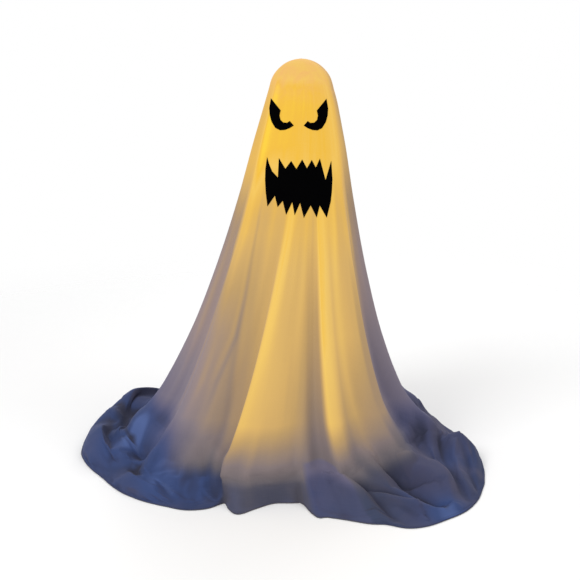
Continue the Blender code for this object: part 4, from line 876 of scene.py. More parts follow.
normals = normals_of(cover_mesh)[1:].reshape(*sheet_x.shape, 3)
spots = np.stack([sheet_x, sheet_y, sheet_z], -1)
smooth_spots = np.stack([blurred(spots[..., i], BLUR_TIMES) for i in range(3)], -1)
# How far each point lies sunk under the smoothed cloth: the deeper, the more painted pocket shade it gets
sunk = ((smooth_spots - spots) * normals).sum(-1)
clear_of_pocket_shade = np.clip(0.54 - sunk / POCKET_DEPTH, 0, 1)
sky = np.clip(normals @ np.array(SKY_DIRECTION), 0, 1)
sky = SKY_AMOUNT * eased((sky - 0.45) / 0.5) * (0.6 + 0.4 * soft_noise(around_grid, down, 11, 9, 31))
sky *= 1 - RIGHT_SHADE * eased((sheet_x - RIGHT_START) / RIGHT_WIDTH)
for x, y, reach, amount in DUSK_PATCHES:
    near = np.exp(-((sheet_x - x) ** 2 + (sheet_y - y) ** 2) / reach**2)
    sky += max(amount, 0) * near
    glow *= 1 - max(amount - 0.5, 0) * near
    clear_of_pocket_shade += min(amount, 0) * near
strip = (fold_number == 0) * eased((fold_share - STRIP_START) / 0.04) * eased((STRIP_END - fold_share) / 0.03)
strip = strip[None, :] * eased((STRIP_HEIGHT - sheet_z) / 0.008)
strip_glow = 0.10 + 0.10 * eased((sheet_z - 0.05) / 0.04)
glow = mixed(glow, strip_glow, strip)
sky = np.clip(sky, 0, 1)
clear_of_pocket_shade = np.clip(clear_of_pocket_shade + 0.3 * strip, 0, 1)
# Towards the sides the blue of the dusk mixes into what shines through
left, right = (eased((from_front - start) / width) for start, width in (COOL_LEFT, COOL_RIGHT))
cool = np.where(grid_angle > 180, left, right)
cool = np.maximum(cool * eased((0.85 - sheet_z) / 0.25), strip)
on_points = {"glow": glow, "sky": sky, "ridge": clear_of_pocket_shade, "cool": cool}
for name, values in on_points.items():
    at_crown = CROWN_GLOW if name == "glow" else 0.5
    store(cover_mesh, name, np.concatenate([[at_crown], values.ravel()]))
print("sky from", round(float(sky.min()), 2), "to", round(float(sky.max()), 2))

# %% [markdown]
# ## Cloth finish
# A fine plain weave and a little unevenness in the thread are shared by the cover, its hem and its
# seam, so both are node groups. The cover's colour is painted light that follows its glow: the slate
# blue of the dusk where no light comes through, then mauve, tan and amber, to yellow round the face.

# %% Node groups for woven cloth
def new_group(name, inputs, outputs):
    """A shader node group. Inputs are (name, kind, value) and outputs (name, kind)."""
    group = bpy.data.node_groups.new(name, "ShaderNodeTree")
    for label, kind, value in inputs:
        socket = group.interface.new_socket(label, in_out="INPUT", socket_type="NodeSocket" + kind)
        if value is not None:
            socket.default_value = value
    for label, kind in outputs:
        group.interface.new_socket(label, in_out="OUTPUT", socket_type="NodeSocket" + kind)
    return group, group.nodes.new("NodeGroupInput"), group.nodes.new("NodeGroupOutput")


def noise(tree, vector, scale, detail, distortion=0.0):
    """Soft noise."""
    made = node(tree, "ShaderNodeTexNoise", Vector=vector, Scale=scale, Detail=detail, Distortion=distortion)
    return made.outputs[0]


weave_group, inside, outside = new_group(
    "plain weave",
    [("Vector", "Vector", None), ("Thread", "Float", 0.0007)],
    [("Height", "Float")],
)
scaled = node(weave_group, "ShaderNodeVectorMath", {"operation": "SCALE"}, _0=inside.outputs["Vector"])
fill(weave_group, scaled, Scale=maths(weave_group, "DIVIDE", math.pi, inside.outputs["Thread"]))
axes = node(weave_group, "ShaderNodeSeparateXYZ", _0=scaled.outputs[0]).outputs
over = maths(weave_group, "SINE", axes[0])
under = maths(weave_group, "SINE", axes[1])
crossing = maths(weave_group, "MULTIPLY", over, under)
fill(weave_group, outside, Height=span(weave_group, crossing, -1, 1))

slub_group, inside, outside = new_group(
    "uneven thread",
    [("Vector", "Vector", None), ("Along", "Float", 14.0), ("Across", "Float", 220.0)],
    [("Streak", "Float")],
)
axes = node(slub_group, "ShaderNodeSeparateXYZ", _0=inside.outputs["Vector"]).outputs
streaks = []
for first, second in ((0, 1), (1, 0)):
    place = node(
        slub_group,
        "ShaderNodeCombineXYZ",
        _0=maths(slub_group, "MULTIPLY", axes[first], inside.outputs["Along"]),
        _1=maths(slub_group, "MULTIPLY", axes[second], inside.outputs["Across"]),
    ).outputs[0]
    streaks.append(noise(slub_group, place, 1.0, 2.0))
fill(slub_group, outside, Streak=span(slub_group, maths(slub_group, "ADD", *streaks), 0.75, 1.25))
print("groups", [g.name for g in bpy.data.node_groups])

# %% Helpers for the finishes
def seen(red, green, blue):
    """A colour as a screen shows it, from 0 to 255, turned into the numbers that a shader takes."""
    parts = [value / 255 for value in (red, green, blue)]
    return tuple(v / 12.92 if v <= 0.04045 else ((v + 0.055) / 1.055) ** 2.4 for v in parts)


def use_group(tree, group, **inputs):
    """Places a node group in a tree."""
    return node(tree, "ShaderNodeGroup", {"node_tree": group}, **inputs)


def attribute(tree, name):
    """A number that the mesh carries at each of its points."""
    return node(tree, "ShaderNodeAttribute", {"attribute_name": name}).outputs["Fac"]


def part_of(tree, vector, number):
    """One of a vector's three numbers."""
    return node(tree, "ShaderNodeSeparateXYZ", _0=vector).outputs[number]


def ramp(tree, factor, stops):
    """A colour ramp with its stops as (place, colour) pairs."""
    made = node(tree, "ShaderNodeValToRGB", _0=factor)
    elements = made.color_ramp.elements
    while len(elements) < len(stops):
        elements.new(0.5)
    for element, (place, colour) in zip(elements, stops):
        element.position = place
        element.color = (*colour, 1)
    return made.outputs["Color"]


def blend_colour(tree, factor, a, b, mode="MIX"):
    """Mixes two colours by a factor."""
    made = node(tree, "ShaderNodeMix", {"data_type": "RGBA", "blend_type": mode}, _0=factor, _6=a, _7=b)
    return made.outputs[2]


def raised(tree, height, strength, distance):
    """The normal of a surface with a fine relief."""
    made = node(tree, "ShaderNodeBump", Height=height, Strength=strength, Distance=distance)
    return made.outputs["Normal"]


print("half grey on a screen is", round(seen(128, 128, 128)[0], 3), "in a shader")

# %% The cover's material
GLOW_COLOURS = [(place, seen(*colour)) for place, *colour in (
    (0.00, 60, 64, 90),
    (0.10, 82, 81, 92),
    (0.20, 106, 99, 103),
    (0.30, 128, 115, 114),
    (0.40, 149, 129, 112),
    (0.50, 170, 142, 108),
    (0.60, 190, 156, 103),
    (0.70, 213, 173, 104),
    (0.80, 230, 188, 104),
    (0.89, 243, 201, 104),
    (0.945, 242, 190, 66),
    (1.00, 252, 208, 64),
)]
# The same glow towards the sides, with the painted blue of the dusk mixed into its lower part
COOL_COLOURS = [(place, seen(*colour)) for place, *colour in (
    (0.00, 60, 66, 102),
    (0.10, 82, 84, 117),
    (0.20, 106, 101, 121),
    (0.30, 130, 120, 129),
    (0.40, 150, 132, 129),
    (0.50, 170, 144, 118),
)] + GLOW_COLOURS[6:]
SHADE_BLUE = seen(46, 54, 82)
SKY_BLUE = seen(54, 70, 113)
SKY_LIT_BLUE = seen(74, 93, 142)
SHADE_MAUVE = seen(69, 68, 89)
POCKET_SHADE = seen(46, 48, 66)
PEACH_GLOW = seen(240, 184, 108)
GREY_DUSK_TINT = (1.0, 0.94, 0.64)
WARM_GLOW_TINT = (1.0, 0.94, 0.68)
# Heights between which the warm tint of the painted glow round the face and the peach glow of the crown come
# in
WARM_HEIGHTS = (0.62, 0.78)
CROWN_HEIGHTS = (1.07, 1.16)
# Where the mauve of the shaded cloth comes in from left to right, and where it ends
MAUVE_START, MAUVE_END = (0.02, 0.18), (0.42, 0.54)
# The same for the grey of the painted dusk
GREY_START, GREY_END = (0.02, 0.10), (0.20, 0.32)


def woven_normal(tree, vector, strength):
    """The weave and its uneven thread as a normal."""
    weave = use_group(tree, weave_group, Vector=vector, Thread=0.0009)
    slub = use_group(tree, slub_group, Vector=vector)
    height = maths(tree, "ADD", weave.outputs["Height"], maths(tree, "MULTIPLY", slub.outputs["Streak"], 0.1))
    return raised(tree, height, strength, 0.0002), slub.outputs["Streak"]


def shine_through(tree, shader, light, colour, most):
    """Shares a colour between what the cloth reflects and what shines through it."""
    glowing = span(tree, light, 0.12, 0.75, 0.0, most, smooth=True)
    reflected = blend_colour(tree, glowing, colour, (0, 0, 0, 1))
    shining = blend_colour(tree, glowing, (0, 0, 0, 1), colour)
    fill(tree, shader, Base_Color=reflected, Emission_Color=shining, Emission_Strength=1.0)


def cover_cloth():
    """Thin cloth that glows where its light attribute says so."""
    finish, tree, shader = new_material("glowing_cloth")
    vector = node(tree, "ShaderNodeUVMap", {"uv_map": "flat_cut"}).outputs["UV"]
    light = attribute(tree, "glow")
    facing = attribute(tree, "sky")
    ridge = attribute(tree, "ridge")
    cool = attribute(tree, "cool")
    normal, streak = woven_normal(tree, vector, 0.04)
    light = maths(tree, "ADD", light, span(tree, streak, 0, 1, -0.004, 0.004))
    lit = blend_colour(tree, cool, ramp(tree, light, GLOW_COLOURS), ramp(tree, light, COOL_COLOURS))
    where = object_place(tree)
    to_right = part_of(tree, where, 0)
    height = part_of(tree, where, 2)
    # Cloth that no light comes through gets painted dusk light: blue or mauve in patches, bluer where it
    # faces the sky
    patches = span(tree, noise(tree, where, 7.0, 3.0, 0.6), 0.46, 0.66)
    mauve = maths(tree, "ADD", patches, span(tree, to_right, *MAUVE_START, 0.0, 0.7))
    mauve = maths(tree, "SUBTRACT", mauve, span(tree, to_right, *MAUVE_END, 0.0, 0.8))
    shade = blend_colour(tree, mauve, (*SHADE_BLUE, 1), (*SHADE_MAUVE, 1))
    dusk = blend_colour(tree, span(tree, facing, 0, 0.6), shade, (*SKY_BLUE, 1))
    dusk = blend_colour(tree, span(tree, facing, 0.65, 1.0), dusk, (*SKY_LIT_BLUE, 1))
    # At the front on the right the painted dusk is greyer
    grey = span(tree, to_right, *GREY_START, 0.0, 0.6)
    grey = maths(tree, "SUBTRACT", grey, span(tree, to_right, *GREY_END, 0.0, 0.6))
    dusk = blend_colour(tree, grey, dusk, (*GREY_DUSK_TINT, 1), "MULTIPLY")
    # Where the cloth lies sunk in a hollow it gets the painted shade of a pocket
    dusk = blend_colour(tree, span(tree, ridge, 0.0, 0.5), (*POCKET_SHADE, 1), dusk)
    colour = blend_colour(tree, span(tree, light, 0.02, 0.20, smooth=True), dusk, lit)
    # Round the face a middle glow is painted warmer, and the crown's painted glow has peach in it
    warm = span(tree, height, *WARM_HEIGHTS)
    warm = maths(tree, "MULTIPLY", warm, span(tree, height, 1.09, 1.16, 1.0, 0.4))
    warm = maths(tree, "MULTIPLY", warm, span(tree, light, 0.94, 0.86))
    warm = maths(tree, "MULTIPLY", warm, span(tree, light, 0.66, 0.80))
    colour = blend_colour(tree, warm, colour, (*WARM_GLOW_TINT, 1), "MULTIPLY")
    mottled = span(tree, noise(tree, where, 26.0, 4.0, 1.2), 0.40, 0.62, 0.15, 0.75)
    crown = maths(tree, "MULTIPLY", span(tree, height, *CROWN_HEIGHTS), mottled)
    colour = blend_colour(tree, crown, colour, (*PEACH_GLOW, 1))
    shine_through(tree, shader, light, colour, 0.80)
    fill(
        tree,
        shader,
        Roughness=0.85,
        Specular_IOR_Level=0.15,
        Sheen_Weight=0.12,
        Sheen_Roughness=0.5,
        Sheen_Tint=(*seen(170, 165, 190), 1),
        Normal=normal,
    )
    return finish


cover_mesh.materials.append(cover_cloth())
cloth_tree = BVHTree.FromObject(cover, bpy.context.evaluated_depsgraph_get())
print("cover finished with", cover_mesh.materials[0].name)

# %% [markdown]
# ## Hem and back seam
# The real edge is rolled and stitched, and one seam runs up the back, where the half circle was
# closed. A roll and a row of stitches both follow a line on the cloth, which is what Geometry Nodes
# are good at: one tree makes a tube along a line, another sets one small stitch after another.

# %% Geometry Nodes for a roll and for stitches
def geometry_tree(name, inputs):
    """A Geometry Nodes tree with named inputs of (name, kind, value), as (tree, inputs, output)."""
    tree = bpy.data.node_groups.new(name, "GeometryNodeTree")
    tree.interface.new_socket("Geometry", in_out="INPUT", socket_type="NodeSocketGeometry")
    for label, kind, value in inputs:
        socket = tree.interface.new_socket(label, in_out="INPUT", socket_type="NodeSocket" + kind)
        if value is not None:
            socket.default_value = value
    tree.interface.new_socket("Geometry", in_out="OUTPUT", socket_type="NodeSocketGeometry")
    return tree, tree.nodes.new("NodeGroupInput").outputs, tree.nodes.new("NodeGroupOutput").inputs


def close_tree(tree, geometry, material, out):
    """Ends a tree: real geometry, smooth, with its finish."""
    real = node(tree, "GeometryNodeRealizeInstances", Geometry=geometry).outputs[0]
    smooth = node(tree, "GeometryNodeSetShadeSmooth", Geometry=real).outputs[0]
    finished = node(tree, "GeometryNodeSetMaterial", Geometry=smooth, Material=material).outputs[0]
    tree.links.new(finished, out["Geometry"])


roll_tree, given, out = geometry_tree(
    "roll along a line", [("Radius", "Float", 0.001), ("Sides", "Int", 8), ("Finish", "Material", None)]
)
line = node(roll_tree, "GeometryNodeMeshToCurve", Mesh=given["Geometry"]).outputs[0]
profile = node(
    roll_tree, "GeometryNodeCurvePrimitiveCircle", Resolution=given["Sides"], Radius=given["Radius"]
).outputs[0]
tube = node(roll_tree, "GeometryNodeCurveToMesh", Curve=line, Profile_Curve=profile)
tube.inputs["Fill Caps"].default_value = True
close_tree(roll_tree, tube.outputs[0], given["Finish"], out)

stitch_tree, given, out = geometry_tree(
    "stitches along a line",
    [
        ("Pitch", "Float", 0.005),
        ("Length", "Float", 0.0035),
        ("Thread", "Float", 0.0003),
        ("Finish", "Material", None),
    ],
)
line = node(stitch_tree, "GeometryNodeMeshToCurve", Mesh=given["Geometry"]).outputs[0]
spaced = node(stitch_tree, "GeometryNodeResampleCurve", {"mode": "LENGTH"}, Curve=line, Length=given["Pitch"])
points = node(stitch_tree, "GeometryNodeCurveToPoints", {"mode": "EVALUATED"}, Curve=spaced.outputs[0])
bead = node(
    stitch_tree, "GeometryNodeMeshUVSphere", Segments=6, Rings=4, Radius=1.0
).outputs["Mesh"]
half = node(stitch_tree, "ShaderNodeMath", {"operation": "MULTIPLY"}, _0=given["Length"], _1=0.5).outputs[0]
size = node(
    stitch_tree, "ShaderNodeCombineXYZ", _0=given["Thread"], _1=given["Thread"], _2=half
).outputs[0]
placed = node(
    stitch_tree,
    "GeometryNodeInstanceOnPoints",
    Points=points.outputs["Points"],
    Instance=bead,
    Rotation=points.outputs["Rotation"],
    Scale=size,
).outputs[0]
close_tree(stitch_tree, placed, given["Finish"], out)
print("trees", [t.name for t in bpy.data.node_groups if t.bl_idname == "GeometryNodeTree"])


# %% Making a piece with a tree
def line_mesh(name, points, lit, closed=False):
    """A mesh of loose edges through a line of points, which carry the glow of the cloth there."""
    mesh = bpy.data.meshes.new(name)
    edges = [(i, i + 1) for i in range(len(points) - 1)]
    if closed:
        edges.append((len(points) - 1, 0))
    mesh.from_pydata(np.asarray(points).tolist(), edges, [])
    store(mesh, "glow", lit)
    return mesh


def grown(name, mesh, tree, **inputs):
    """Runs a tree on a mesh and keeps what it makes as a plain mesh."""
    thing = new_object(name, mesh)
    modifier = thing.modifiers.new(name, "NODES")
    modifier.node_group = tree
    for item in tree.interface.items_tree:
        key = item.name.replace(" ", "_")
        if item.in_out == "INPUT" and key in inputs:
            modifier[item.identifier] = inputs[key]
    result = bpy.data.meshes.new_from_object(thing.evaluated_get(bpy.context.evaluated_depsgraph_get()))
    thing.modifiers.remove(modifier)
    thing.data = result
    bpy.data.meshes.remove(mesh)
    result.name = name
    return thing


# %% Thread and hem finishes
def sewn(name, darker, twisted):
    """Cloth or thread that lies double: it glows a little less than the cloth round it."""
    finish, tree, shader = new_material(name)
    where = object_place(tree)
    light = attribute(tree, "glow")
    colour = ramp(tree, light, GLOW_COLOURS)
    if twisted:
        wave = node(tree, "ShaderNodeTexWave", {"bands_direction": "DIAGONAL"}, Vector=where, Scale=700.0)
        relief = wave.outputs["Fac"]
    else:
        relief = use_group(tree, weave_group, Vector=where, Thread=0.0009).outputs["Height"]
    # The hollows of the weave or of the twist get painted shade, towards the pocket's colour
    shade = span(tree, relief, 0, 1, darker, 0.0)
    colour = blend_colour(tree, shade, colour, (*POCKET_SHADE, 1))
    shine_through(tree, shader, light, colour, 0.70)
    fill(tree, shader, Roughness=0.7, Specular_IOR_Level=0.15, Normal=raised(tree, relief, 0.4, 0.0002))
    return finish


roll_finish = sewn("rolled_cloth", 0.3, False)
thread_finish = sewn("sewing_thread", 0.5, True)

# %% Hem and seam
ROLL_RADIUS = 0.0011
STITCH_ROW = -5
SEAM_WIDTH = 0.0035

edge = spots[-1] + (0, 0, ROLL_RADIUS)
edge[:, 2] = np.maximum(edge[:, 2], ROLL_RADIUS + 0.0002)
inside_line = spots[STITCH_ROW] + normals[STITCH_ROW] * 0.0006
seam_column = int(np.argmin(np.abs(hem_angle - 180)))
seam_line = spots[:, seam_column]
seam_out = normals[:, seam_column]
aside = np.cross(seam_out, np.gradient(seam_line, axis=0))
aside *= SEAM_WIDTH / np.linalg.norm(aside, axis=1)[:, None]
seam_glow = 0.9 * glow[:, seam_column]

seam_base = seam_line + seam_out * 0.0003
seam_row = seam_line + seam_out * 0.0006 + aside
hem_thread = {"Pitch": 0.006, "Length": 0.0042, "Thread": 0.0004, "Finish": thread_finish}
seam_thread = {"Pitch": 0.005, "Length": 0.0034, "Thread": 0.00035, "Finish": thread_finish}
sewing = []
for name, points, lit, closed, tree, inputs in (
    ("rolled_hem", edge, glow[-1], True, roll_tree, {"Radius": ROLL_RADIUS, "Finish": roll_finish}),
    ("hem_stitches", inside_line, glow[STITCH_ROW], True, stitch_tree, hem_thread),
    ("back_seam", seam_base, seam_glow, False, roll_tree, {"Radius": 0.0009, "Finish": roll_finish}),
    ("seam_stitches", seam_row, seam_glow, False, stitch_tree, seam_thread),
):
    sewing.append(grown(name, line_mesh(name + "_line", points, lit, closed), tree, **inputs))
    print(name, "faces", len(sewing[-1].data.polygons))

# %% [markdown]
# ## Felt face
# Eyes and mouth are black felt, cut with scissors and glued on. Each starts as a flat outline filled
# with small triangles. Every point is then sent backwards until it meets the cloth, so the felt
# lies in the cloth's own curve, and a second layer in front of the first gives it its thickness.

# %% Outlines of the face
EYE_OUTLINE_SHARES = (
    (-0.86, 1.00), (-0.07, 0.28), (-0.16, -0.06), (-0.08, -0.33), (0.15, -0.49), (0.46, -0.50),
    (0.67, -0.38), (1.00, -0.67), (0.67, -0.84), (0.27, -0.97), (-0.12, -1.00), (-0.50, -0.87),
    (-0.81, -0.49), (-0.96, -0.07), (-1.00, 0.36),
)
MOUTH_OUTLINE_SHARES = (
    (-0.93, 1.00), (-0.87, 0.78), (-0.78, 0.55), (-0.61, 0.36), (-0.58, 1.00), (-0.39, 0.66),
    (-0.22, 0.92), (-0.07, 0.66), (0.10, 0.97), (0.24, 0.68), (0.38, 0.95), (0.50, 0.69),
    (0.62, 0.98), (0.79, 0.25), (0.96, 0.87), (1.00, 0.25), (0.98, -0.17), (0.95, -0.47),
    (0.83, -1.00), (0.62, -0.58), (0.53, -0.97), (0.35, -0.56), (0.15, -0.97), (0.04, -0.47),
    (-0.12, -0.88), (-0.19, -0.45), (-0.37, -0.87), (-0.47, -0.41), (-0.62, -0.62), (-0.70, -0.25),
    (-0.92, -0.62), (-0.97, -0.17), (-0.99, 0.25), (-0.98, 0.60),
)
EYE_SIZE = (0.069, 0.085)
EYE_SPACING = 0.096
EYE_HEIGHT = 1.048
MOUTH_SIZE = (0.191, 0.166)
MOUTH_HEIGHT = 0.847
FACE_SHIFT = -0.008
FELT_GAP = 0.0004
FELT_THICKNESS = 0.0012
FELT_STEP = 0.003


def outline_points(shares, centre, size):
    """The outline in metres, with points at most one step apart."""
    corners = [Vector((centre[0] + x * size[0] / 2, centre[1] + z * size[1] / 2)) for x, z in shares]
    points = []
    for a, b in zip(corners, corners[1:] + corners[:1]):
        count = max(1, math.ceil((b - a).length / FELT_STEP))
        points += [a.lerp(b, i / count) for i in range(count)]
    return points


def outline_area(points):
    """The area inside a closed outline."""
    pairs = zip(points, points[1:] + points[:1])
    return abs(sum(a.x * b.y - b.x * a.y for a, b in pairs)) / 2


def felt_piece(name, points, finish):
    """Felt that lies on the cloth inside an outline."""
    low = [min(p[i] for p in points) for i in (0, 1)]
    high = [max(p[i] for p in points) for i in (0, 1)]
    across, up = (math.ceil((high[i] - low[i]) / FELT_STEP) for i in (0, 1))
    inner = []
    for i in range(across + 1):
        for j in range(up + 1):
            inner.append(Vector((low[0] + (i + 0.5 * (j % 2)) * FELT_STEP, low[1] + j * FELT_STEP)))
    edges = [(i, (i + 1) % len(points)) for i in range(len(points))]
    flat_points, _, faces, _, _, _ = geometry.delaunay_2d_cdt(
        points + inner, edges, [list(range(len(points)))], 1, FELT_STEP / 20
    )
    used = sorted({i for face in faces for i in face})
    number = {old: new for new, old in enumerate(used)}
    back, front = [], []
    for i in used:
        x, z = flat_points[i]
        place, normal, _, _ = cloth_tree.ray_cast(Vector((x, -1, z)), Vector((0, 1, 0)))
        back.append(place + normal * FELT_GAP)
        front.append(place + normal * (FELT_GAP + FELT_THICKNESS))
    shape = bmesh.new()
    back = [shape.verts.new(p) for p in back]
    front = [shape.verts.new(p) for p in front]
    for face in faces:
        shape.faces.new([front[number[i]] for i in face])
        shape.faces.new([back[number[i]] for i in reversed(face)])
    for edge in [e for e in shape.edges if len(e.link_faces) == 1 and e.verts[0] in set(front)]:
        a, b = edge.verts
        twin_a, twin_b = back[front.index(a)], back[front.index(b)]
        shape.faces.new((a, b, twin_b, twin_a))
    bmesh.ops.recalc_face_normals(shape, faces=shape.faces)
    mesh = bpy.data.meshes.new(name)
    shape.to_mesh(mesh)
    shape.free()
    mesh.shade_smooth()
    mesh.set_sharp_from_angle(angle=math.radians(50))
    mesh.materials.append(finish)
    return new_object(name, mesh)


# %% Felt finish
def felt():
    """Black wool felt: matted fibres with a dull fuzz."""
    finish, tree, shader = new_material("black_wool_felt")
    where = object_place(tree)
    fibres = noise(tree, where, 900.0, 4.0, 1.8)
    clumps = noise(tree, where, 120.0, 2.0)
    amount = maths(tree, "MULTIPLY", fibres, span(tree, clumps, 0.3, 0.7, 0.6, 1.0))
    colour = ramp(tree, amount, ((0.0, (0.0002, 0.0002, 0.0003)), (1.0, (0.0016, 0.0015, 0.0018))))
    fill(
        tree,
        shader,
        Base_Color=colour,
        Roughness=0.96,
        Specular_IOR_Level=0.01,
        Normal=raised(tree, fibres, 0.5, 0.0004),
    )
    return finish


felt_finish = felt()
face_parts = []
mirrored = [(-x, z) for x, z in reversed(EYE_OUTLINE_SHARES)]
for name, shares, centre, size in (
    ("eye_left", EYE_OUTLINE_SHARES, (FACE_SHIFT - EYE_SPACING / 2, EYE_HEIGHT), EYE_SIZE),
    ("eye_right", mirrored, (FACE_SHIFT + EYE_SPACING / 2, EYE_HEIGHT), EYE_SIZE),
    ("mouth", MOUTH_OUTLINE_SHARES, (FACE_SHIFT, MOUTH_HEIGHT), MOUTH_SIZE),
):
    outline = outline_points(shares, centre, size)
    piece = felt_piece("felt_" + name, outline, felt_finish)
    face_parts.append((piece, name, size, outline_area(outline)))
    print(piece.name, "cut area", round(outline_area(outline) * 1e4, 1), "cm2")

# %% [markdown]
# ## The stand and lamp under the cover
# The cloth hides the rest until it is lifted, and then all of it shows: steel tube with powder
# coat, moulded plastic, rubber boots, plated screws, and the milky dome and tube that spread the
# light. Three effects are shared as node groups: a fine grain, wear where edges are rubbed bright,
# and dust that settles on what faces up.

# %% Node groups for hard finishes
grain_group, inside, outside = new_group(
    "fine grain",
    [("Vector", "Vector", None), ("Size", "Float", 900.0)],
    [("Height", "Float"), ("Patches", "Float")],
)
speckle = noise(grain_group, inside.outputs["Vector"], inside.outputs["Size"], 3.0)
patches = noise(grain_group, inside.outputs["Vector"], 14.0, 5.0)
fill(grain_group, outside, Height=speckle, Patches=span(grain_group, patches, 0.3, 0.7))

wear_group, inside, outside = new_group(
    "rubbed edges",
    [("Vector", "Vector", None), ("Radius", "Float", 0.0012), ("Amount", "Float", 0.5)],
    [("Mask", "Float")],
)
rounded = node(wear_group, "ShaderNodeBevel", {"samples": 6}, Radius=inside.outputs["Radius"]).outputs[0]
true_normal = node(wear_group, "ShaderNodeNewGeometry").outputs["Normal"]
alike = node(wear_group, "ShaderNodeVectorMath", {"operation": "DOT_PRODUCT"}, _0=rounded, _1=true_normal)
edge_mask = span(wear_group, alike.outputs["Value"], 0.995, 0.90)
breaks = noise(wear_group, inside.outputs["Vector"], 85.0, 4.0)
chipped = maths(wear_group, "MULTIPLY", edge_mask, span(wear_group, breaks, 0.42, 0.62))
fill(wear_group, outside, Mask=maths(wear_group, "MULTIPLY", chipped, inside.outputs["Amount"]))

dust_group, inside, outside = new_group(
    "settled dust", [("Vector", "Vector", None), ("Amount", "Float", 0.3)], [("Mask", "Float")]
)
facing_up = part_of(dust_group, node(dust_group, "ShaderNodeNewGeometry").outputs["Normal"], 2)
drift = noise(dust_group, inside.outputs["Vector"], 40.0, 6.0)
drifted = span(dust_group, drift, 0.35, 0.7)
lying = maths(dust_group, "MULTIPLY", span(dust_group, facing_up, 0.2, 0.9), drifted)
fill(dust_group, outside, Mask=maths(dust_group, "MULTIPLY", lying, inside.outputs["Amount"]))
print("groups", [g.name for g in bpy.data.node_groups if g.bl_idname == "ShaderNodeTree"])


# %% Hard finishes
DUST = seen(168, 162, 152)


def hard_finish(name, light, dark, bare, rough, grain, wear, dust, relief=0.00008, bare_metal=0.0):
    """A coated or moulded surface: two shades in patches, rubbed edges, dust, and a fine grain."""
    finish, tree, shader = new_material(name)
    where = object_place(tree)
    grain_parts = use_group(tree, grain_group, Vector=where, Size=grain)
    rubbed = use_group(tree, wear_group, Vector=where, Amount=wear).outputs["Mask"]
    dusty = use_group(tree, dust_group, Vector=where, Amount=dust).outputs["Mask"]
    colour = blend_colour(tree, grain_parts.outputs["Patches"], (*dark, 1), (*light, 1))
    colour = blend_colour(tree, rubbed, colour, (*bare, 1))
    colour = blend_colour(tree, dusty, colour, (*DUST, 1))
    roughness = span(tree, grain_parts.outputs["Patches"], 0, 1, rough - 0.06, rough + 0.06)
    roughness = maths(tree, "ADD", roughness, maths(tree, "MULTIPLY", dusty, 0.4))
    metallic = span(tree, rubbed, 0, 1, 0.0, bare_metal) if bare_metal else 0.0
    normal = raised(tree, grain_parts.outputs["Height"], 0.5, relief)
    fill(tree, shader, Base_Color=colour, Roughness=roughness, Metallic=metallic, Normal=normal)
    return finish


STEEL = seen(150, 150, 152)
powder_coat = hard_finish(
    "powder_coat", seen(52, 52, 55), seen(38, 38, 41), STEEL, 0.48, 600.0, 0.8, 0.30, 0.00012, bare_metal=1.0
)
black_moulding = hard_finish(
    "black_moulding", seen(40, 40, 43), seen(30, 30, 33), seen(88, 88, 92), 0.55, 1400.0, 0.5, 0.25
)
case_moulding = hard_finish(
    "case_moulding", seen(224, 222, 216), seen(214, 210, 202), seen(240, 239, 236), 0.42, 1100.0, 0.3, 0.15
)
boot_rubber = hard_finish(
    "boot_rubber", seen(36, 35, 35), seen(28, 27, 27), seen(78, 76, 74), 0.85, 500.0, 0.6, 0.45
)
red_button = hard_finish(
    "red_button", seen(190, 44, 36), seen(172, 34, 30), seen(220, 110, 96), 0.30, 1600.0, 0.5, 0.08
)


def plated(name, colour, rough, spangle):
    """Zinc or nickel plate: bright, with faint crystals and brushing."""
    finish, tree, shader = new_material(name)
    where = object_place(tree)
    crystals = node(tree, "ShaderNodeTexVoronoi", Vector=where, Scale=spangle).outputs["Color"]
    tone = node(tree, "ShaderNodeSeparateColor", _0=crystals).outputs[0]
    low = tuple(0.82 * c for c in colour)
    fill(
        tree,
        shader,
        Base_Color=ramp(tree, tone, ((0.0, low), (1.0, colour))),
        Roughness=span(tree, tone, 0, 1, rough - 0.06, rough + 0.08),
        Metallic=1.0,
    )
    fine = use_group(tree, grain_group, Vector=where, Size=2400.0).outputs["Height"]
    fill(tree, shader, Normal=raised(tree, fine, 0.25, 0.00005))
    return finish


zinc = plated("zinc_plate", seen(206, 206, 202), 0.32, 260.0)
nickel = plated("nickel_plate", seen(214, 208, 196), 0.22, 700.0)
print("plated finishes", [finish.name for finish in (zinc, nickel)])

# %% Milky plastic, lamps and cells
LED_PITCH = 0.033


def height_range(name):
    """The heights of a node's bottom and top."""
    return [corner[2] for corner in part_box(name)]


TUBE_LOW, TUBE_HIGH = height_range("light_tube")


def milky(name, low, high, bright, dim, bands):
    """Milky plastic that glows, bright at the bottom and dim at the top, with bands where lamps sit."""
    finish, tree, shader = new_material(name)
    where = object_place(tree)
    height = part_of(tree, where, 2)
    level = span(tree, height, low, high, bright, dim)
    if bands:
        phase = maths(tree, "MULTIPLY", maths(tree, "SUBTRACT", height, low), math.tau / LED_PITCH)
        level = maths(tree, "ADD", level, maths(tree, "MULTIPLY", maths(tree, "COSINE", phase), bands))
    clouds = noise(tree, where, 30.0, 3.0)
    level = maths(tree, "ADD", level, span(tree, clouds, 0.3, 0.7, -0.02, 0.02))
    colours = ((0.0, seen(206, 160, 104)), (0.5, seen(250, 204, 120)), (1.0, seen(255, 236, 190)))
    warm = ramp(tree, level, colours)
    glow_part = blend_colour(tree, span(tree, level, 0, 1, 0.35, 0.9), (0, 0, 0, 1), warm)
    fill(
        tree,
        shader,
        Emission_Color=glow_part,
        Base_Color=blend_colour(tree, span(tree, level, 0, 1, 0.3, 0.8), warm, (0, 0, 0, 1)),
        Emission_Strength=1.0,
    )
    fine = use_group(tree, grain_group, Vector=where, Size=1800.0)
    fill(
        tree,
        shader,
        Roughness=span(tree, fine.outputs["Patches"], 0, 1, 0.26, 0.38),
        Normal=raised(tree, fine.outputs["Height"], 0.2, 0.00005),
    )
    return finish


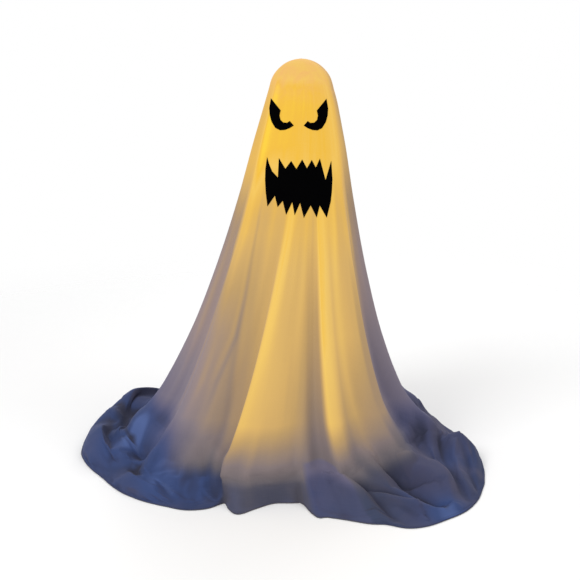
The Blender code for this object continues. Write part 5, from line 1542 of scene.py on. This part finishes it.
def cell_wrap():
    """A cell's plastic sleeve: a dark body and a copper band at its raised end."""
    finish, tree, shader = new_material("cell_sleeve")
    low, high = height_range("battery_cell_1")
    where = object_place(tree)
    height = part_of(tree, where, 2)
    along = span(tree, height, low, high)
    scuffs = use_group(tree, grain_group, Vector=where, Size=500.0)
    bands = ramp(
        tree,
        along,
        (
            (0.0, seen(150, 148, 146)),
            (0.03, seen(34, 52, 84)),
            (0.68, seen(38, 58, 92)),
            (0.70, seen(196, 128, 72)),
        ),
    )
    colour = blend_colour(tree, span(tree, scuffs.outputs["Patches"], 0, 1, 0, 0.15), bands, (*DUST, 1))
    fill(
        tree,
        shader,
        Base_Color=colour,
        Roughness=span(tree, scuffs.outputs["Patches"], 0, 1, 0.25, 0.40),
        Normal=raised(tree, scuffs.outputs["Height"], 0.15, 0.00005),
    )
    return finish


def lamp_board():
    """A white lamp strip with copper pads between its lamps."""
    finish, tree, shader = new_material("lamp_board")
    where = object_place(tree)
    height = part_of(tree, where, 2)
    phase = maths(tree, "MULTIPLY", maths(tree, "SUBTRACT", height, TUBE_LOW), math.tau / LED_PITCH)
    pads = span(tree, maths(tree, "COSINE", maths(tree, "ADD", phase, math.pi)), 0.82, 0.88)
    grainy = use_group(tree, grain_group, Vector=where, Size=1500.0)
    patches = grainy.outputs["Patches"]
    board = blend_colour(tree, patches, (*seen(228, 226, 216), 1), (*seen(238, 236, 228), 1))
    fill(
        tree,
        shader,
        Base_Color=blend_colour(tree, pads, board, (*seen(190, 132, 84), 1)),
        Metallic=pads,
        Roughness=0.4,
        Normal=raised(tree, pads, 0.3, 0.00005),
    )
    return finish


tube_glow = milky("milky_tube", TUBE_LOW, TUBE_HIGH, 0.72, 0.66, 0.18)
dome_glow = milky("milky_dome", *height_range("head_dome"), 0.80, 0.35, 0)
FINISHES = {
    powder_coat: ("pole_", "base_leg"),
    black_moulding: ("base_hub", "pole_collar", "pole_plug", "head_tray", "light_tube_cap", "push_switch"),
    case_moulding: ("lamp_housing", "housing_lid", "battery_door", "battery_tray"),
    boot_rubber: ("leg_boot",),
    red_button: ("power_button",),
    zinc: ("hub_screw", "leg_screw", "lid_screw", "tray_screw", "pole_snap", "door_hinge_pin"),
    nickel: ("contact_strip",),
    tube_glow: ("light_tube",),
    dome_glow: ("head_dome",),
    cell_wrap(): ("battery_cell",),
    lamp_board(): ("led_strip",),
}


def finish_for(name):
    """The finish whose longest word starts a node's name."""
    pairs = [(word, finish) for finish, words in FINISHES.items() for word in words]
    found = [pair for pair in pairs if name.startswith(pair[0])]
    return max(found, key=lambda pair: len(pair[0]))[1] if found else None


print("nodes without a finish:", [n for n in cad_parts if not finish_for(n)])
for name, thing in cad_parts.items():
    finish = finish_for(name)
    if finish:
        for slot in thing.material_slots:
            slot.material = finish

# %% [markdown]
# ## A spring that closes
# The snap button in the pole is pushed out by a bent leaf spring, whose two arms close as the button
# goes in. The spring stays in its place and only grows narrower. A copy of it, with its doubled points
# merged, takes the node's place on the stand.

# %% Snap spring
spring_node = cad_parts["pole_snap_spring"]
spring = new_object("snap_spring", spring_node.data.copy())
shape = bmesh.new()
shape.from_mesh(spring.data)
bmesh.ops.remove_doubles(shape, verts=shape.verts, dist=1e-5)
shape.to_mesh(spring.data)
shape.free()
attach(spring, "stand")
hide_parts("pole_snap_spring")
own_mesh(spring)

# %% Attach the cover and its face
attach(cover, "cover")
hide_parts("ghost_cover")
for piece, name, size, area in face_parts:
    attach(piece, "cover")
    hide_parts(name)
for piece in sewing:
    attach(piece, "cover")
